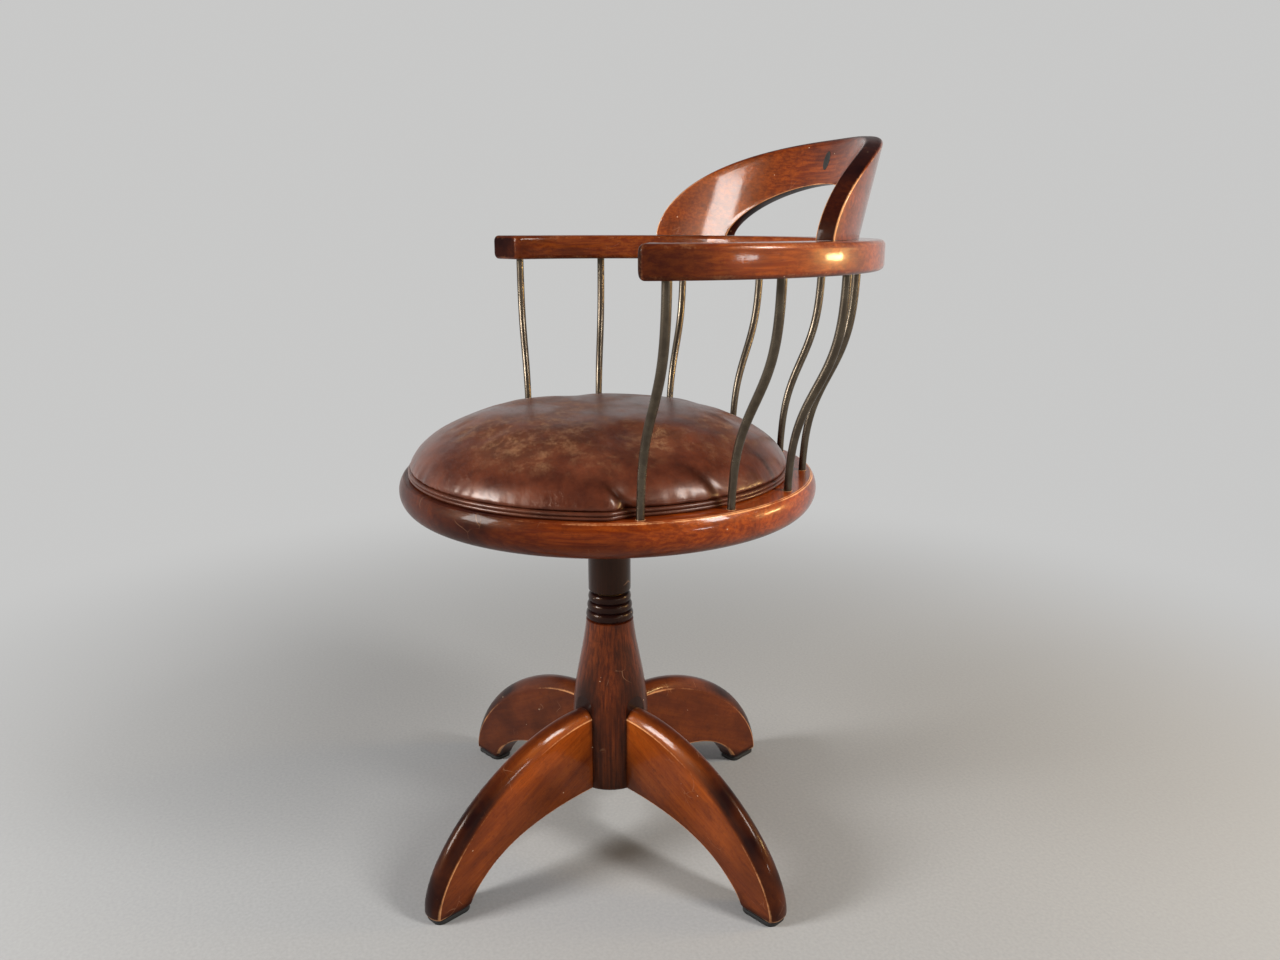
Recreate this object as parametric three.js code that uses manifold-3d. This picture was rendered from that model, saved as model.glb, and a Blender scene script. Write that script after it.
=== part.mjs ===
import * as THREE from 'three';
import { mergeVertices } from 'three/addons/utils/BufferGeometryUtils.js';
import Module from 'manifold-3d';

// A bankers swivel chair in millimetres, +Z up. The sitter faces -Y.
// Four arched legs are let into a turned column. A steel stem turns in the column
// and carries a round seat with a domed cushion, nine S-curved spindles,
// a horseshoe arm bow and an arched crest.

const wasm = await Module();
wasm.setup();

// Clearances and shared cutting sizes.
const fitGap = 0.3;
const cutOverrun = 4;
const mergeDistance = 0.0001;

// Feet and legs. The shares place the control points of a leg's two side curves.
const padThickness = 5;
const padCornerRadius = 10;
const legCount = 4;
const legThickness = 28;
const legReach = 259;
const footLength = 42;
const legRootHeight = 88.8;
const legCrownAtRoot = 10;
const legCrownAtFoot = 5.5;
const legCrownSwell = 7;
const legEdge = 2;
const legHeelEdge = 6;
const legFootTuck = 2;
const legTopReachShare = 0.452;
const legToeRiseShare = 0.407;
const legArchReachShare = 0.503;
const legArchTurnShare = 0.88;
const legArchTurnRiseShare = 0.716;
const baseTurn = THREE.MathUtils.degToRad(24.6);

// Dowels between each leg and the column.
const legDowelRadius = 5;
const legDowelLength = 48;
const legDowelInColumn = 17;
const legDowelHeightShares = { lower: 0.24, upper: 0.74 };

// Column: a straight foot, a flare and three beads.
const columnUnderside = 71;
const columnFootRadius = 44.7;
const columnFootHeight = 79;
const columnFootEdge = 2;
const columnFlareHeight = 122;
const columnNeckRadius = 27.6;
const flareLowShare = 0.369;
const flareHighShare = 0.697;
const flareNeckShare = 0.17;
const legFlatDepth = 3.2;
const beadCount = 3;
const beadPitch = 10.7;
const beadDepth = 3.6;
const beadRise = 1.15;
const beadRadius = 27.8;
const beadStep = 1.3;

// Stem, bushes, washers, nut and the cover over them.
const stemRadius = 10;
const stemShoulderWidth = 3;
const stemTenonRadius = 8;
const stemTail = 4;
const bushWall = 3.7;
const bushFlangeWidth = 4;
const bushFlangeThickness = 2.8;
const upperBushLength = 43;
const lowerBushLength = 33;
const thrustWasherThickness = 2.1;
const stemWasherThickness = 2;
const nutThickness = 10;
const nutAcrossFlatsShare = 2.6;
const recessDepth = 37;
const recessClearance = 1.5;
const coverMargin = 14.5;
const coverThickness = 2;

// Screws: shank radius, head radius, head height and length.
const coverScrew = { shank: 1.5, head: 3.4, headHeight: 1.6, length: 12 };
const plateScrew = { shank: 2.5, head: 5, headHeight: 2.6, length: 20 };
const crestScrew = { shank: 2.5, head: 4.6, headHeight: 2.4, length: 50 };
const slotWidthShare = 0.24;
const slotDepthShare = 0.45;
const coverScrewCount = 3;

// Collar, plate, board and ring of the seat.
const collarRadius = 24.6;
const collarLength = 119.8;
const collarEdge = 1.5;
const plateWidth = 150;
const plateThickness = 6;
const plateCornerRadius = 12;
const plateScrewInset = 15;
const boardThickness = 20;
const ringRadius = 231;
const ringThickness = 38.7;
const ringNoseRadius = 23.6;
const ringBoreRadius = 165;
const ringLedge = 20;

// Spindles. The shares place and soften the S-bend along the free length.
const spindleCount = 9;
const spindlePitch = THREE.MathUtils.degToRad(25.1);
const spindleInset = 15.2;
const spindleLength = 219.8;
const spindleHeadRadius = 4.65;
const spindleFootRadius = 4;
const spindleFootTenon = 20;
const spindleHeadTenon = 15;
const bendPlaceShare = 0.486;
const bendSoftShare = 0.235;

// Cushion and its double welt.
const cushionSetForward = 8;
const cushionClearance = 1.5;
const cushionArrisMargin = 3.4;
const cushionStep = 26;
const cushionDomeHeight = 59.1;
const cushionSideShare = 2 / 3.3;
const cushionCrownShare = 2 / 1.77;
const cushionDrawIn = 2.6;
const cushionDrawHeight = 5;
const weltBeadRadius = 1.95;
const weltInset = 1.6;
const weltWidth = 8;

// Arm bow: an ellipse in plan, in three pieces.
const bowHalfSpan = 266;
const bowHalfDepth = 250.7;
const bowCentreBack = 11.7;
const bowWidth = 48.5;
const bowThickness = 29.6;
const bowEdge = 5.5;
const armTipCorner = 7;
const armTipSkewShare = 0.2;
const armEndAngle = THREE.MathUtils.degToRad(105.3);
const bowJointAngle = THREE.MathUtils.degToRad(40);
const bowDowelRadius = 5;
const bowDowelLength = 44;
const bowDowelOffset = 3;

// Crest: a bent board with an arched outline and a hand hole. It leans back most in the middle.
const crestMiddleLean = THREE.MathUtils.degToRad(14.6);
const crestEndLean = THREE.MathUtils.degToRad(4.5);
const crestThickness = 19.2;
const crestInset = 11.8;
const crestRise = 107.5;
const crestEndAngle = THREE.MathUtils.degToRad(57.4);
const crestSpanShare = 2 / 2.43;
const crestRiseShare = 2 / 1.77;
const windowRise = 57.7;
const windowEndAngle = THREE.MathUtils.degToRad(33.6);
const windowSpanShare = 2 / 2.07;
const windowRiseShare = 2 / 1.55;
const crestEdge = 1.6;
const crestTopEdge = 7;
const crestScrewAngles = [44.8, 53.8].map(THREE.MathUtils.degToRad);
const plugWidth = 12.5;
const plugHeight = 21;
const plugDepth = 5;
const plugProud = 0.5;
const plugRise = 84;

// Heights that follow from the sizes above, from the floor up.
const legUnderside = padThickness + fitGap;
const beadsBottom = columnUnderside + columnFootHeight + columnFlareHeight + beadRise;
const columnTop = beadsBottom + beadCount * beadPitch;
const recessTop = columnUnderside + recessDepth;
const collarUnderside = columnTop + thrustWasherThickness + 2 * fitGap;
const plateUnderside = collarUnderside + collarLength + fitGap;
const boardUnderside = plateUnderside + plateThickness + fitGap;
const ringTop = boardUnderside + boardThickness;
const ringUnderside = ringTop - ringThickness;
const bowUnderside = ringTop + spindleLength;
const bowTop = bowUnderside + bowThickness;

// Radii that follow from the sizes above, from the axis out.
const stemBore = stemRadius + fitGap;
const bushRadius = stemBore + bushWall;
const bushFlangeRadius = bushRadius + bushFlangeWidth;
const stemShoulderRadius = stemRadius + stemShoulderWidth;
const recessRadius = bushFlangeRadius + recessClearance;
const coverRadius = recessRadius + coverMargin;
const columnFlatRadius = columnFootRadius - legFlatDepth;
const legRootRadius = columnFlatRadius + fitGap;
const legRootTop = columnUnderside + legRootHeight;
const spindleCircleRadius = ringRadius - spindleInset;
const ringRebateRadius = ringBoreRadius + ringLedge;

// Looks of the materials.
const mahogany = { color: 0x7a3218, roughness: 0.35, metalness: 0 };
const beech = { color: 0xc8a273, roughness: 0.8, metalness: 0 };
const leather = { color: 0x4c2d1f, roughness: 0.5, metalness: 0 };
const agedBronze = { color: 0x4a3a22, roughness: 0.4, metalness: 0.85 };
const bushBronze = { color: 0x9a7440, roughness: 0.45, metalness: 0.9 };
const steel = { color: 0x85878a, roughness: 0.4, metalness: 0.9 };
const iron = { color: 0x26262a, roughness: 0.6, metalness: 0.5 };
const brass = { color: 0xa98a4a, roughness: 0.4, metalness: 0.9 };
const blackRubber = { color: 0x141414, roughness: 0.85, metalness: 0 };
const darkPlug = { color: 0x1c1f1b, roughness: 0.45, metalness: 0 };

// Turns the faces of a closed surface outwards, where its volume comes out negative.
function facingOut(geometry) {
  const flat = geometry.index ? geometry.toNonIndexed() : geometry.clone();
  const position = flat.attributes.position;
  const a = new THREE.Vector3();
  const b = new THREE.Vector3();
  const c = new THREE.Vector3();
  let volume = 0;
  for (let i = 0; i < position.count; i += 3) {
    a.fromBufferAttribute(position, i);
    b.fromBufferAttribute(position, i + 1);
    c.fromBufferAttribute(position, i + 2);
    volume += a.dot(b.cross(c));
  }
  if (volume > 0) {
    return flat;
  }
  for (let i = 0; i < position.count; i += 3) {
    a.fromBufferAttribute(position, i + 1);
    c.fromBufferAttribute(position, i + 2);
    position.setXYZ(i + 1, c.x, c.y, c.z);
    position.setXYZ(i + 2, a.x, a.y, a.z);
  }
  return flat;
}

// Makes a solid of a closed surface. Triangles that shrink to a line are left out.
function solidOf(geometry) {
  const plain = new THREE.BufferGeometry();
  const flat = geometry.index ? geometry.toNonIndexed() : geometry;
  plain.setAttribute('position', flat.attributes.position.clone());
  const merged = mergeVertices(plain, mergeDistance);
  const index = merged.index.array;
  const kept = [];
  for (let i = 0; i < index.length; i += 3) {
    const [a, b, c] = [index[i], index[i + 1], index[i + 2]];
    if (a !== b && b !== c && c !== a) {
      kept.push(a, b, c);
    }
  }
  const vertProperties = new Float32Array(merged.attributes.position.array);
  const triVerts = new Uint32Array(kept);
  return new wasm.Manifold(new wasm.Mesh({ numProp: 3, vertProperties, triVerts }));
}

// Gives a solid back as a geometry with flat faces.
function geometryOf(solid) {
  const mesh = solid.getMesh();
  const geometry = new THREE.BufferGeometry();
  geometry.setAttribute('position', new THREE.BufferAttribute(new Float32Array(mesh.vertProperties), 3));
  geometry.setIndex(Array.from(mesh.triVerts));
  const flat = geometry.toNonIndexed();
  flat.computeVertexNormals();
  return flat;
}

// Cuts a list of cutters out of a body.
function cut(body, cutters) {
  let solid = solidOf(body);
  for (const cutter of cutters) {
    solid = solid.subtract(solidOf(cutter));
  }
  return geometryOf(solid);
}

// Turns a profile of [radius, height] points about the upright axis.
function turned(profile, sides) {
  const points = profile.map(([radius, height]) => new THREE.Vector2(radius, height));
  const geometry = new THREE.LatheGeometry(points, sides);
  geometry.rotateX(Math.PI / 2);
  return facingOut(geometry);
}

// The same for a profile that closes on itself, such as a bush or a washer.
function turnedRing(profile, sides) {
  return turned([...profile, profile[0]], sides);
}

// A ring of rectangular section.
function tube(innerRadius, outerRadius, bottom, top, sides) {
  const profile = [[innerRadius, bottom], [outerRadius, bottom], [outerRadius, top], [innerRadius, top]];
  return turnedRing(profile, sides);
}

// An upright rod from one height to another.
function rod(radius, bottom, top, sides) {
  return turned([[0, bottom], [radius, bottom], [radius, top], [0, top]], sides);
}

// Triangles between neighbours in a row of equal rings of points.
function skin(rings) {
  const points = [];
  for (let k = 0; k + 1 < rings.length; k += 1) {
    const count = rings[k].length;
    for (let i = 0; i < count; i += 1) {
      const [a, b] = [rings[k][i], rings[k][(i + 1) % count]];
      const [c, d] = [rings[k + 1][i], rings[k + 1][(i + 1) % count]];
      points.push(a, b, c, b, d, c);
    }
  }
  return points;
}

// Triangles from a point to a ring.
function fan(centre, ring, flip) {
  const points = [];
  ring.forEach((a, i) => {
    const b = ring[(i + 1) % ring.length];
    points.push(centre, flip ? b : a, flip ? a : b);
  });
  return points;
}

function middleOf(ring) {
  return ring.reduce((sum, point) => sum.add(point), new THREE.Vector3()).divideScalar(ring.length);
}

// A flat outline, given a thickness upwards.
function slab(shape, depth, curveSegments) {
  return new THREE.ExtrudeGeometry(shape, { depth, bevelEnabled: false, curveSegments });
}

// Skins a row of rings and closes its ends, the last one at a crown point if it has one.
function loft(rings, crown) {
  const last = rings[rings.length - 1];
  const points = [...skin(rings), ...fan(middleOf(rings[0]), rings[0], true)];
  points.push(...fan(crown ?? middleOf(last), last, false));
  return facingOut(new THREE.BufferGeometry().setFromPoints(points));
}

// Skins a row of rings that comes back to its start.
function loopLoft(rings) {
  return facingOut(new THREE.BufferGeometry().setFromPoints(skin([...rings, rings[0]])));
}

// A cubic curve through [radius, height] control points.
function curve(controls) {
  const points = controls.map(([radius, height]) => new THREE.Vector2(radius, height));
  return new THREE.CubicBezierCurve(...points);
}

// Adds a named piece with a material of its own.
function addPiece(parent, name, geometry, look) {
  const mesh = new THREE.Mesh(geometry, new THREE.MeshStandardMaterial(look));
  mesh.name = name;
  parent.add(mesh);
  return mesh;
}

// Countersunk wood screw, head down, its head face at the given height.
function screwProfile(screw, bottom, gap, reach) {
  return [
    [0, bottom - reach],
    [screw.head + gap, bottom - reach],
    [screw.head + gap, bottom],
    [screw.shank + gap, bottom + screw.headHeight],
    [screw.shank + gap, bottom + screw.length - 2 * screw.shank],
    [0, bottom + screw.length + gap],
  ];
}

function screwBody(screw, bottom) {
  const body = turned(screwProfile(screw, bottom, 0, 0), 8);
  const depth = screw.headHeight * slotDepthShare;
  const slot = new THREE.BoxGeometry(4 * screw.head, 2 * screw.head * slotWidthShare, 2 * depth);
  slot.translate(0, 0, bottom);
  return cut(body, [slot]);
}

function screwHole(screw, bottom) {
  return turned(screwProfile(screw, bottom, fitGap, cutOverrun), 8);
}

// One leg, standing along +X. Its sections run from the column to the foot, where the last is
// tucked in a little all round.
function legRing(share, upper, lower, tuck) {
  const top = upper.getPoint(share);
  const bottom = lower.getPoint(share);
  const out = top.clone().sub(bottom).normalize();
  top.addScaledVector(out, -tuck);
  bottom.addScaledVector(out, tuck);
  const swell = legCrownSwell * Math.sin(Math.PI * share);
  const crown = THREE.MathUtils.lerp(legCrownAtRoot, legCrownAtFoot, share) + swell;
  const edge = THREE.MathUtils.lerp(legEdge, legHeelEdge, THREE.MathUtils.smoothstep(share, 0.75, 1));
  const half = legThickness / 2 - tuck;
  const at = (side, base, lift) => new THREE.Vector3(base.x + out.x * lift, side, base.y + out.y * lift);
  const ring = [at(-half, bottom, edge), at(edge - half, bottom, 0)];
  ring.push(at(half - edge, bottom, 0), at(half, bottom, edge));
  const crownSteps = 6;
  for (let i = 0; i <= crownSteps; i += 1) {
    const angle = Math.PI * i / crownSteps;
    ring.push(at(half * Math.cos(angle), top, crown * Math.sin(angle)));
  }
  return ring;
}

function legDowelHeight(level) {
  return columnUnderside + legRootHeight * legDowelHeightShares[level];
}

// A level rod along +X at one of the two dowel heights, grown by a gap.
function legDowelRod(level, gap) {
  const start = legRootRadius - legDowelInColumn - gap;
  const dowel = rod(legDowelRadius + gap, start, start + legDowelLength + 2 * gap, 10);
  dowel.rotateY(Math.PI / 2);
  dowel.translate(0, 0, legDowelHeight(level));
  return dowel;
}

function legGeometry() {
  const run = legReach - legRootRadius;
  const rise = legRootTop - legUnderside;
  const archRun = run - footLength;
  const archRise = columnUnderside - legUnderside;
  const upper = curve([
    [legRootRadius, legRootTop],
    [legRootRadius + run * legTopReachShare, legRootTop],
    [legReach, legUnderside + rise * legToeRiseShare],
    [legReach, legUnderside],
  ]);
  const lower = curve([
    [legRootRadius, columnUnderside],
    [legRootRadius + archRun * legArchReachShare, columnUnderside],
    [legRootRadius + archRun * legArchTurnShare, legUnderside + archRise * legArchTurnRiseShare],
    [legReach - footLength, legUnderside],
  ]);
  const steps = 13;
  const rings = [];
  for (let i = 0; i < steps; i += 1) {
    rings.push(legRing(i / steps, upper, lower, 0));
  }
  rings.push(legRing(1 - legFootTuck / rise, upper, lower, 0));
  rings.push(legRing(1, upper, lower, legFootTuck));
  return cut(loft(rings), Object.keys(legDowelHeightShares).map((level) => legDowelRod(level, fitGap)));
}

// Pad under a foot: a rounded plate as long and as wide as the foot.
function padGeometry() {
  const length = footLength + legCrownAtFoot / 2;
  const [x, y, r] = [length / 2, legThickness / 2, padCornerRadius];
  const shape = new THREE.Shape();
  shape.absarc(x - r, y - r, r, 0, Math.PI / 2);
  shape.absarc(r - x, y - r, r, Math.PI / 2, Math.PI);
  shape.absarc(r - x, r - y, r, Math.PI, Math.PI * 1.5);
  shape.absarc(x - r, r - y, r, Math.PI * 1.5, Math.PI * 2);
  const pad = slab(shape, padThickness, 2);
  pad.translate(legReach - footLength + x, 0, 0);
  return pad;
}

// Arch-shaped cutter along +X, for the flat that a leg stands against.
function legFlatCutter() {
  const half = legThickness / 2 + fitGap;
  const bottom = columnUnderside - cutOverrun;
  const spring = legRootTop + legCrownAtRoot + fitGap;
  const shape = new THREE.Shape();
  shape.moveTo(-half, bottom);
  shape.lineTo(half, bottom);
  shape.lineTo(half, spring);
  shape.absarc(0, spring, half, 0, Math.PI);
  const cutter = slab(shape, legFlatDepth + cutOverrun, 8);
  const [x, y, z] = [new THREE.Vector3(0, 1, 0), new THREE.Vector3(0, 0, 1), new THREE.Vector3(1, 0, 0)];
  cutter.applyMatrix4(new THREE.Matrix4().makeBasis(x, y, z));
  cutter.translate(columnFlatRadius, 0, 0);
  return cutter;
}

function beadPoints() {
  const steps = 6;
  const points = [];
  for (let bead = 0; bead < beadCount; bead += 1) {
    const groove = beadRadius - beadStep * bead - beadDepth;
    for (let i = bead === 0 ? 0 : 1; i <= steps; i += 1) {
      const angle = Math.PI * i / steps;
      const height = beadsBottom + beadPitch * (bead + 0.5 - 0.5 * Math.cos(angle));
      points.push([groove + beadDepth * Math.sin(angle) - beadStep * i / steps * 0.5, height]);
    }
  }
  return points;
}

function columnProfile() {
  const footTop = columnUnderside + columnFootHeight;
  const taper = columnFootRadius - columnNeckRadius;
  const flare = curve([
    [columnFootRadius, footTop],
    [columnFootRadius, footTop + columnFlareHeight * flareLowShare],
    [columnNeckRadius + taper * flareNeckShare, footTop + columnFlareHeight * flareHighShare],
    [columnNeckRadius, footTop + columnFlareHeight],
  ]);
  const flangeSeat = columnTop - bushFlangeThickness - fitGap;
  return [
    [recessRadius, columnUnderside],
    [columnFootRadius - columnFootEdge, columnUnderside],
    [columnFootRadius, columnUnderside + columnFootEdge],
    ...flare.getPoints(7).map((point) => [point.x, point.y]),
    ...beadPoints(),
    [bushFlangeRadius + fitGap, columnTop],
    [bushFlangeRadius + fitGap, flangeSeat],
    [bushRadius + fitGap, flangeSeat],
    [bushRadius + fitGap, recessTop],
    [recessRadius, recessTop],
  ];
}

function coverScrewPlace(k) {
  const angle = 2 * Math.PI * (k + 0.5) / coverScrewCount;
  const radius = (recessRadius + coverRadius) / 2;
  return new THREE.Vector3(radius * Math.cos(angle), radius * Math.sin(angle), 0);
}

// The screw heads lie just inside the cover's underside.
const coverTop = columnUnderside - fitGap;
const coverUnderside = coverTop - coverThickness;

function coverScrewHoles() {
  const holes = [];
  for (let k = 0; k < coverScrewCount; k += 1) {
    const place = coverScrewPlace(k);
    holes.push(screwHole(coverScrew, coverUnderside).translate(place.x, place.y, 0));
  }
  return holes;
}

function columnGeometry() {
  const cutters = coverScrewHoles();
  for (let k = 0; k < legCount; k += 1) {
    const turn = 2 * Math.PI * k / legCount;
    cutters.push(legFlatCutter().rotateZ(turn));
    for (const level of Object.keys(legDowelHeightShares)) {
      cutters.push(legDowelRod(level, fitGap).rotateZ(turn));
    }
  }
  return cut(turnedRing(columnProfile(), 28), cutters);
}

// A flanged bush. The flange is at the top of the upper one and under the lower one.
function bushGeometry(flangeEnd, sleeveEnd) {
  const step = Math.sign(sleeveEnd - flangeEnd) * bushFlangeThickness;
  return turnedRing([
    [stemBore, flangeEnd],
    [bushFlangeRadius, flangeEnd],
    [bushFlangeRadius, flangeEnd + step],
    [bushRadius, flangeEnd + step],
    [bushRadius, sleeveEnd],
    [stemBore, sleeveEnd],
  ], 18);
}

function buildBase() {
  const base = new THREE.Group();
  base.rotation.z = baseTurn;
  addPiece(base, 'column', columnGeometry(), mahogany);
  for (let k = 0; k < legCount; k += 1) {
    const place = new THREE.Group();
    place.rotation.z = 2 * Math.PI * k / legCount;
    base.add(place);
    addPiece(place, `leg_${k + 1}`, legGeometry(), mahogany);
    addPiece(place, `foot_pad_${k + 1}`, padGeometry(), blackRubber);
    for (const level of Object.keys(legDowelHeightShares)) {
      addPiece(place, `leg_dowel_${k + 1}_${level}`, legDowelRod(level, 0), beech);
    }
  }
  const lowerFlange = recessTop - fitGap - bushFlangeThickness;
  addPiece(base, 'upper_bush', bushGeometry(columnTop, columnTop - upperBushLength), bushBronze);
  addPiece(base, 'lower_bush', bushGeometry(lowerFlange, lowerFlange + lowerBushLength), bushBronze);
  const washerBottom = columnTop + fitGap;
  const washer = tube(stemBore, bushFlangeRadius, washerBottom, washerBottom + thrustWasherThickness, 18);
  addPiece(base, 'thrust_washer', washer, bushBronze);
  const cover = rod(coverRadius, coverUnderside, coverTop, 24);
  addPiece(base, 'bottom_cover', cut(cover, coverScrewHoles()), iron);
  for (let k = 0; k < coverScrewCount; k += 1) {
    const screw = addPiece(base, `cover_screw_${k + 1}`, screwBody(coverScrew, coverUnderside), brass);
    screw.position.copy(coverScrewPlace(k));
  }
  return base;
}

// Stem, its washer and nut under the lower bush, and the collar round it.
const stemWasherTop = recessTop - bushFlangeThickness - 2 * fitGap;
const nutTop = stemWasherTop - stemWasherThickness - fitGap;
const nutBottom = nutTop - nutThickness;

function stemGeometry() {
  const shoulderTop = plateUnderside - fitGap;
  const tenonTop = plateUnderside + plateThickness - fitGap;
  return turned([
    [0, nutBottom - stemTail],
    [stemRadius, nutBottom - stemTail],
    [stemRadius, collarUnderside],
    [stemShoulderRadius, collarUnderside],
    [stemShoulderRadius, shoulderTop],
    [stemTenonRadius, shoulderTop],
    [stemTenonRadius, tenonTop],
    [0, tenonTop],
  ], 18);
}

function nutGeometry() {
  const cornerRadius = stemRadius * nutAcrossFlatsShare / 2 / Math.cos(Math.PI / 6);
  const corners = [0, 1, 2, 3, 4, 5].map((k) => Math.PI * k / 3);
  const cornerAt = (turn) => new THREE.Vector2(cornerRadius * Math.cos(turn), cornerRadius * Math.sin(turn));
  const outline = new THREE.Shape(corners.map(cornerAt));
  const bore = new THREE.Path();
  bore.absarc(0, 0, stemBore, 0, Math.PI * 2);
  outline.holes.push(bore);
  const nut = slab(outline, nutThickness, 9);
  nut.translate(0, 0, nutBottom);
  return nut;
}

function collarGeometry() {
  return turnedRing([
    [stemShoulderRadius + fitGap, collarUnderside],
    [collarRadius - collarEdge, collarUnderside],
    [collarRadius, collarUnderside + collarEdge],
    [collarRadius, collarUnderside + collarLength],
    [stemShoulderRadius + fitGap, collarUnderside + collarLength],
  ], 32);
}

function plateScrewPlaces() {
  const far = plateWidth / 2 - plateScrewInset;
  return [[far, far], [-far, far], [-far, -far], [far, -far]];
}

function plateScrewHoles() {
  return plateScrewPlaces().map(([x, y]) => screwHole(plateScrew, plateUnderside).translate(x, y, 0));
}

function plateGeometry() {
  const far = plateWidth / 2 - plateCornerRadius;
  const shape = new THREE.Shape();
  shape.absarc(far, far, plateCornerRadius, 0, Math.PI / 2);
  shape.absarc(-far, far, plateCornerRadius, Math.PI / 2, Math.PI);
  shape.absarc(-far, -far, plateCornerRadius, Math.PI, Math.PI * 1.5);
  shape.absarc(far, -far, plateCornerRadius, Math.PI * 1.5, Math.PI * 2);
  const plate = slab(shape, plateThickness, 3);
  plate.translate(0, 0, plateUnderside);
  const plateTop = plateUnderside + plateThickness;
  const bore = rod(stemTenonRadius + fitGap, plateUnderside - cutOverrun, plateTop + cutOverrun, 18);
  return cut(plate, [bore, ...plateScrewHoles()]);
}

// Where the ring's flat top meets its rounded nose.
function ringArrisAngle() {
  return Math.asin((ringThickness - ringNoseRadius) / ringNoseRadius);
}

function ringArrisRadius() {
  return ringRadius - ringNoseRadius * (1 - Math.cos(ringArrisAngle()));
}

// Ring of the seat: flat on top, a rounded nose outside and a rebate for the board.
function ringProfile() {
  const noseHeight = ringUnderside + ringNoseRadius;
  const start = -Math.PI / 2;
  const end = ringArrisAngle();
  const steps = 7;
  const profile = [[ringBoreRadius, ringUnderside]];
  for (let i = 0; i <= steps; i += 1) {
    const angle = THREE.MathUtils.lerp(start, end, i / steps);
    const radius = ringRadius - ringNoseRadius * (1 - Math.cos(angle));
    profile.push([radius, noseHeight + ringNoseRadius * Math.sin(angle)]);
  }
  const ledge = boardUnderside - fitGap;
  profile.push([ringRebateRadius, ringTop], [ringRebateRadius, ledge], [ringBoreRadius, ledge]);
  return profile;
}

// A point of the bow at an angle from the centre back, offset outwards in plan.
function bowPoint(angle, offset, height) {
  const across = Math.sin(angle) / bowHalfSpan;
  const along = Math.cos(angle) / bowHalfDepth;
  const length = Math.hypot(across, along);
  const x = bowHalfSpan * Math.sin(angle) + offset * across / length;
  const y = bowCentreBack + bowHalfDepth * Math.cos(angle) + offset * along / length;
  return new THREE.Vector3(x, y, height);
}

// The angle that lies a given distance along the bow from another angle.
function bowAngleAt(angle, distance) {
  return angle + distance / Math.hypot(bowHalfSpan * Math.cos(angle), bowHalfDepth * Math.sin(angle));
}

function spindleAngle(k) {
  return spindlePitch * (k - (spindleCount - 1) / 2);
}

function spindleFoot(angle) {
  const foot = new THREE.Vector3(Math.sin(angle), Math.cos(angle), 0).multiplyScalar(spindleCircleRadius);
  return foot.setZ(ringTop);
}

// How far a spindle has crossed from its foot to its head at a height.
function bendShare(height) {
  const soft = spindleLength * bendSoftShare;
  const bendHeight = ringTop + spindleLength * bendPlaceShare;
  const low = Math.tanh((ringTop - bendHeight) / soft);
  const high = Math.tanh((bowUnderside - bendHeight) / soft);
  return (Math.tanh((height - bendHeight) / soft) - low) / (high - low);
}

function spindleRings(angle, heights, gap) {
  const foot = spindleFoot(angle);
  const head = bowPoint(angle, 0, ringTop);
  const lean = head.clone().sub(foot);
  const centreAt = (height) => foot.clone().addScaledVector(lean, bendShare(height)).setZ(height);
  const sides = 8;
  return heights.map((height) => {
    const above = centreAt(height + spindleFootRadius);
    const tangent = above.sub(centreAt(height - spindleFootRadius)).normalize();
    const across = new THREE.Vector3(lean.y, -lean.x, 0).normalize();
    const other = new THREE.Vector3().crossVectors(tangent, across);
    const share = THREE.MathUtils.clamp((height - ringTop) / spindleLength, 0, 1);
    const swell = THREE.MathUtils.smoothstep(share, 0, 0.6);
    const radius = THREE.MathUtils.lerp(spindleFootRadius, spindleHeadRadius, swell) + gap;
    const ring = [];
    for (let i = 0; i < sides; i += 1) {
      const turn = 2 * Math.PI * i / sides;
      const point = centreAt(height).addScaledVector(across, radius * Math.cos(turn));
      ring.push(point.addScaledVector(other, radius * Math.sin(turn)));
    }
    return ring;
  });
}

function spindleGeometry(angle) {
  const steps = 12;
  const heights = [ringTop - spindleFootTenon];
  for (let i = 0; i <= steps; i += 1) {
    heights.push(ringTop + spindleLength * i / steps);
  }
  heights.push(bowUnderside + spindleHeadTenon);
  return loft(spindleRings(angle, heights, 0));
}

function spindleFootHole(angle) {
  const bottom = ringTop - spindleFootTenon - fitGap;
  return loft(spindleRings(angle, [bottom, ringTop, ringTop + cutOverrun], fitGap));
}

function spindleHeadHole(angle) {
  const bottom = bowUnderside - cutOverrun;
  return loft(spindleRings(angle, [bottom, bowUnderside, bowUnderside + spindleHeadTenon + fitGap], fitGap));
}

function spindleAngles() {
  return Array.from({ length: spindleCount }, (_, k) => spindleAngle(k));
}

// Section of the bow: a rectangle with rounded edges. Its outer side leads by a share of the offset.
function bowRing(angle, narrow, thin, leadShare) {
  const x = bowWidth / 2 - narrow - bowEdge;
  const z = bowThickness / 2 - thin - bowEdge;
  const middle = bowUnderside + bowThickness / 2;
  const ring = [];
  for (const [cornerX, cornerZ, start] of [[x, z, 0], [-x, z, 1], [-x, -z, 2], [x, -z, 3]]) {
    for (const step of [0, 0.5, 1]) {
      const turn = (start + step) * Math.PI / 2;
      const offset = cornerX + bowEdge * Math.cos(turn);
      const place = Math.sign(angle) * bowAngleAt(Math.abs(angle), leadShare * offset);
      ring.push(bowPoint(place, offset, middle + cornerZ + bowEdge * Math.sin(turn)));
    }
  }
  return ring;
}

// How much a rounded end has drawn in at a distance from its face.
function roundedEnd(radius, distance) {
  const left = Math.max(0, radius - distance);
  return radius - Math.sqrt(radius * radius - left * left);
}

function armTipRings(side) {
  return [0.5, 0.2, 0].map((share) => {
    const distance = armTipCorner * share;
    const angle = side * bowAngleAt(armEndAngle, -distance);
    const [narrow, thin] = [roundedEnd(armTipCorner, distance), roundedEnd(bowEdge, distance)];
    return bowRing(angle, narrow, thin, armTipSkewShare);
  });
}

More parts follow.
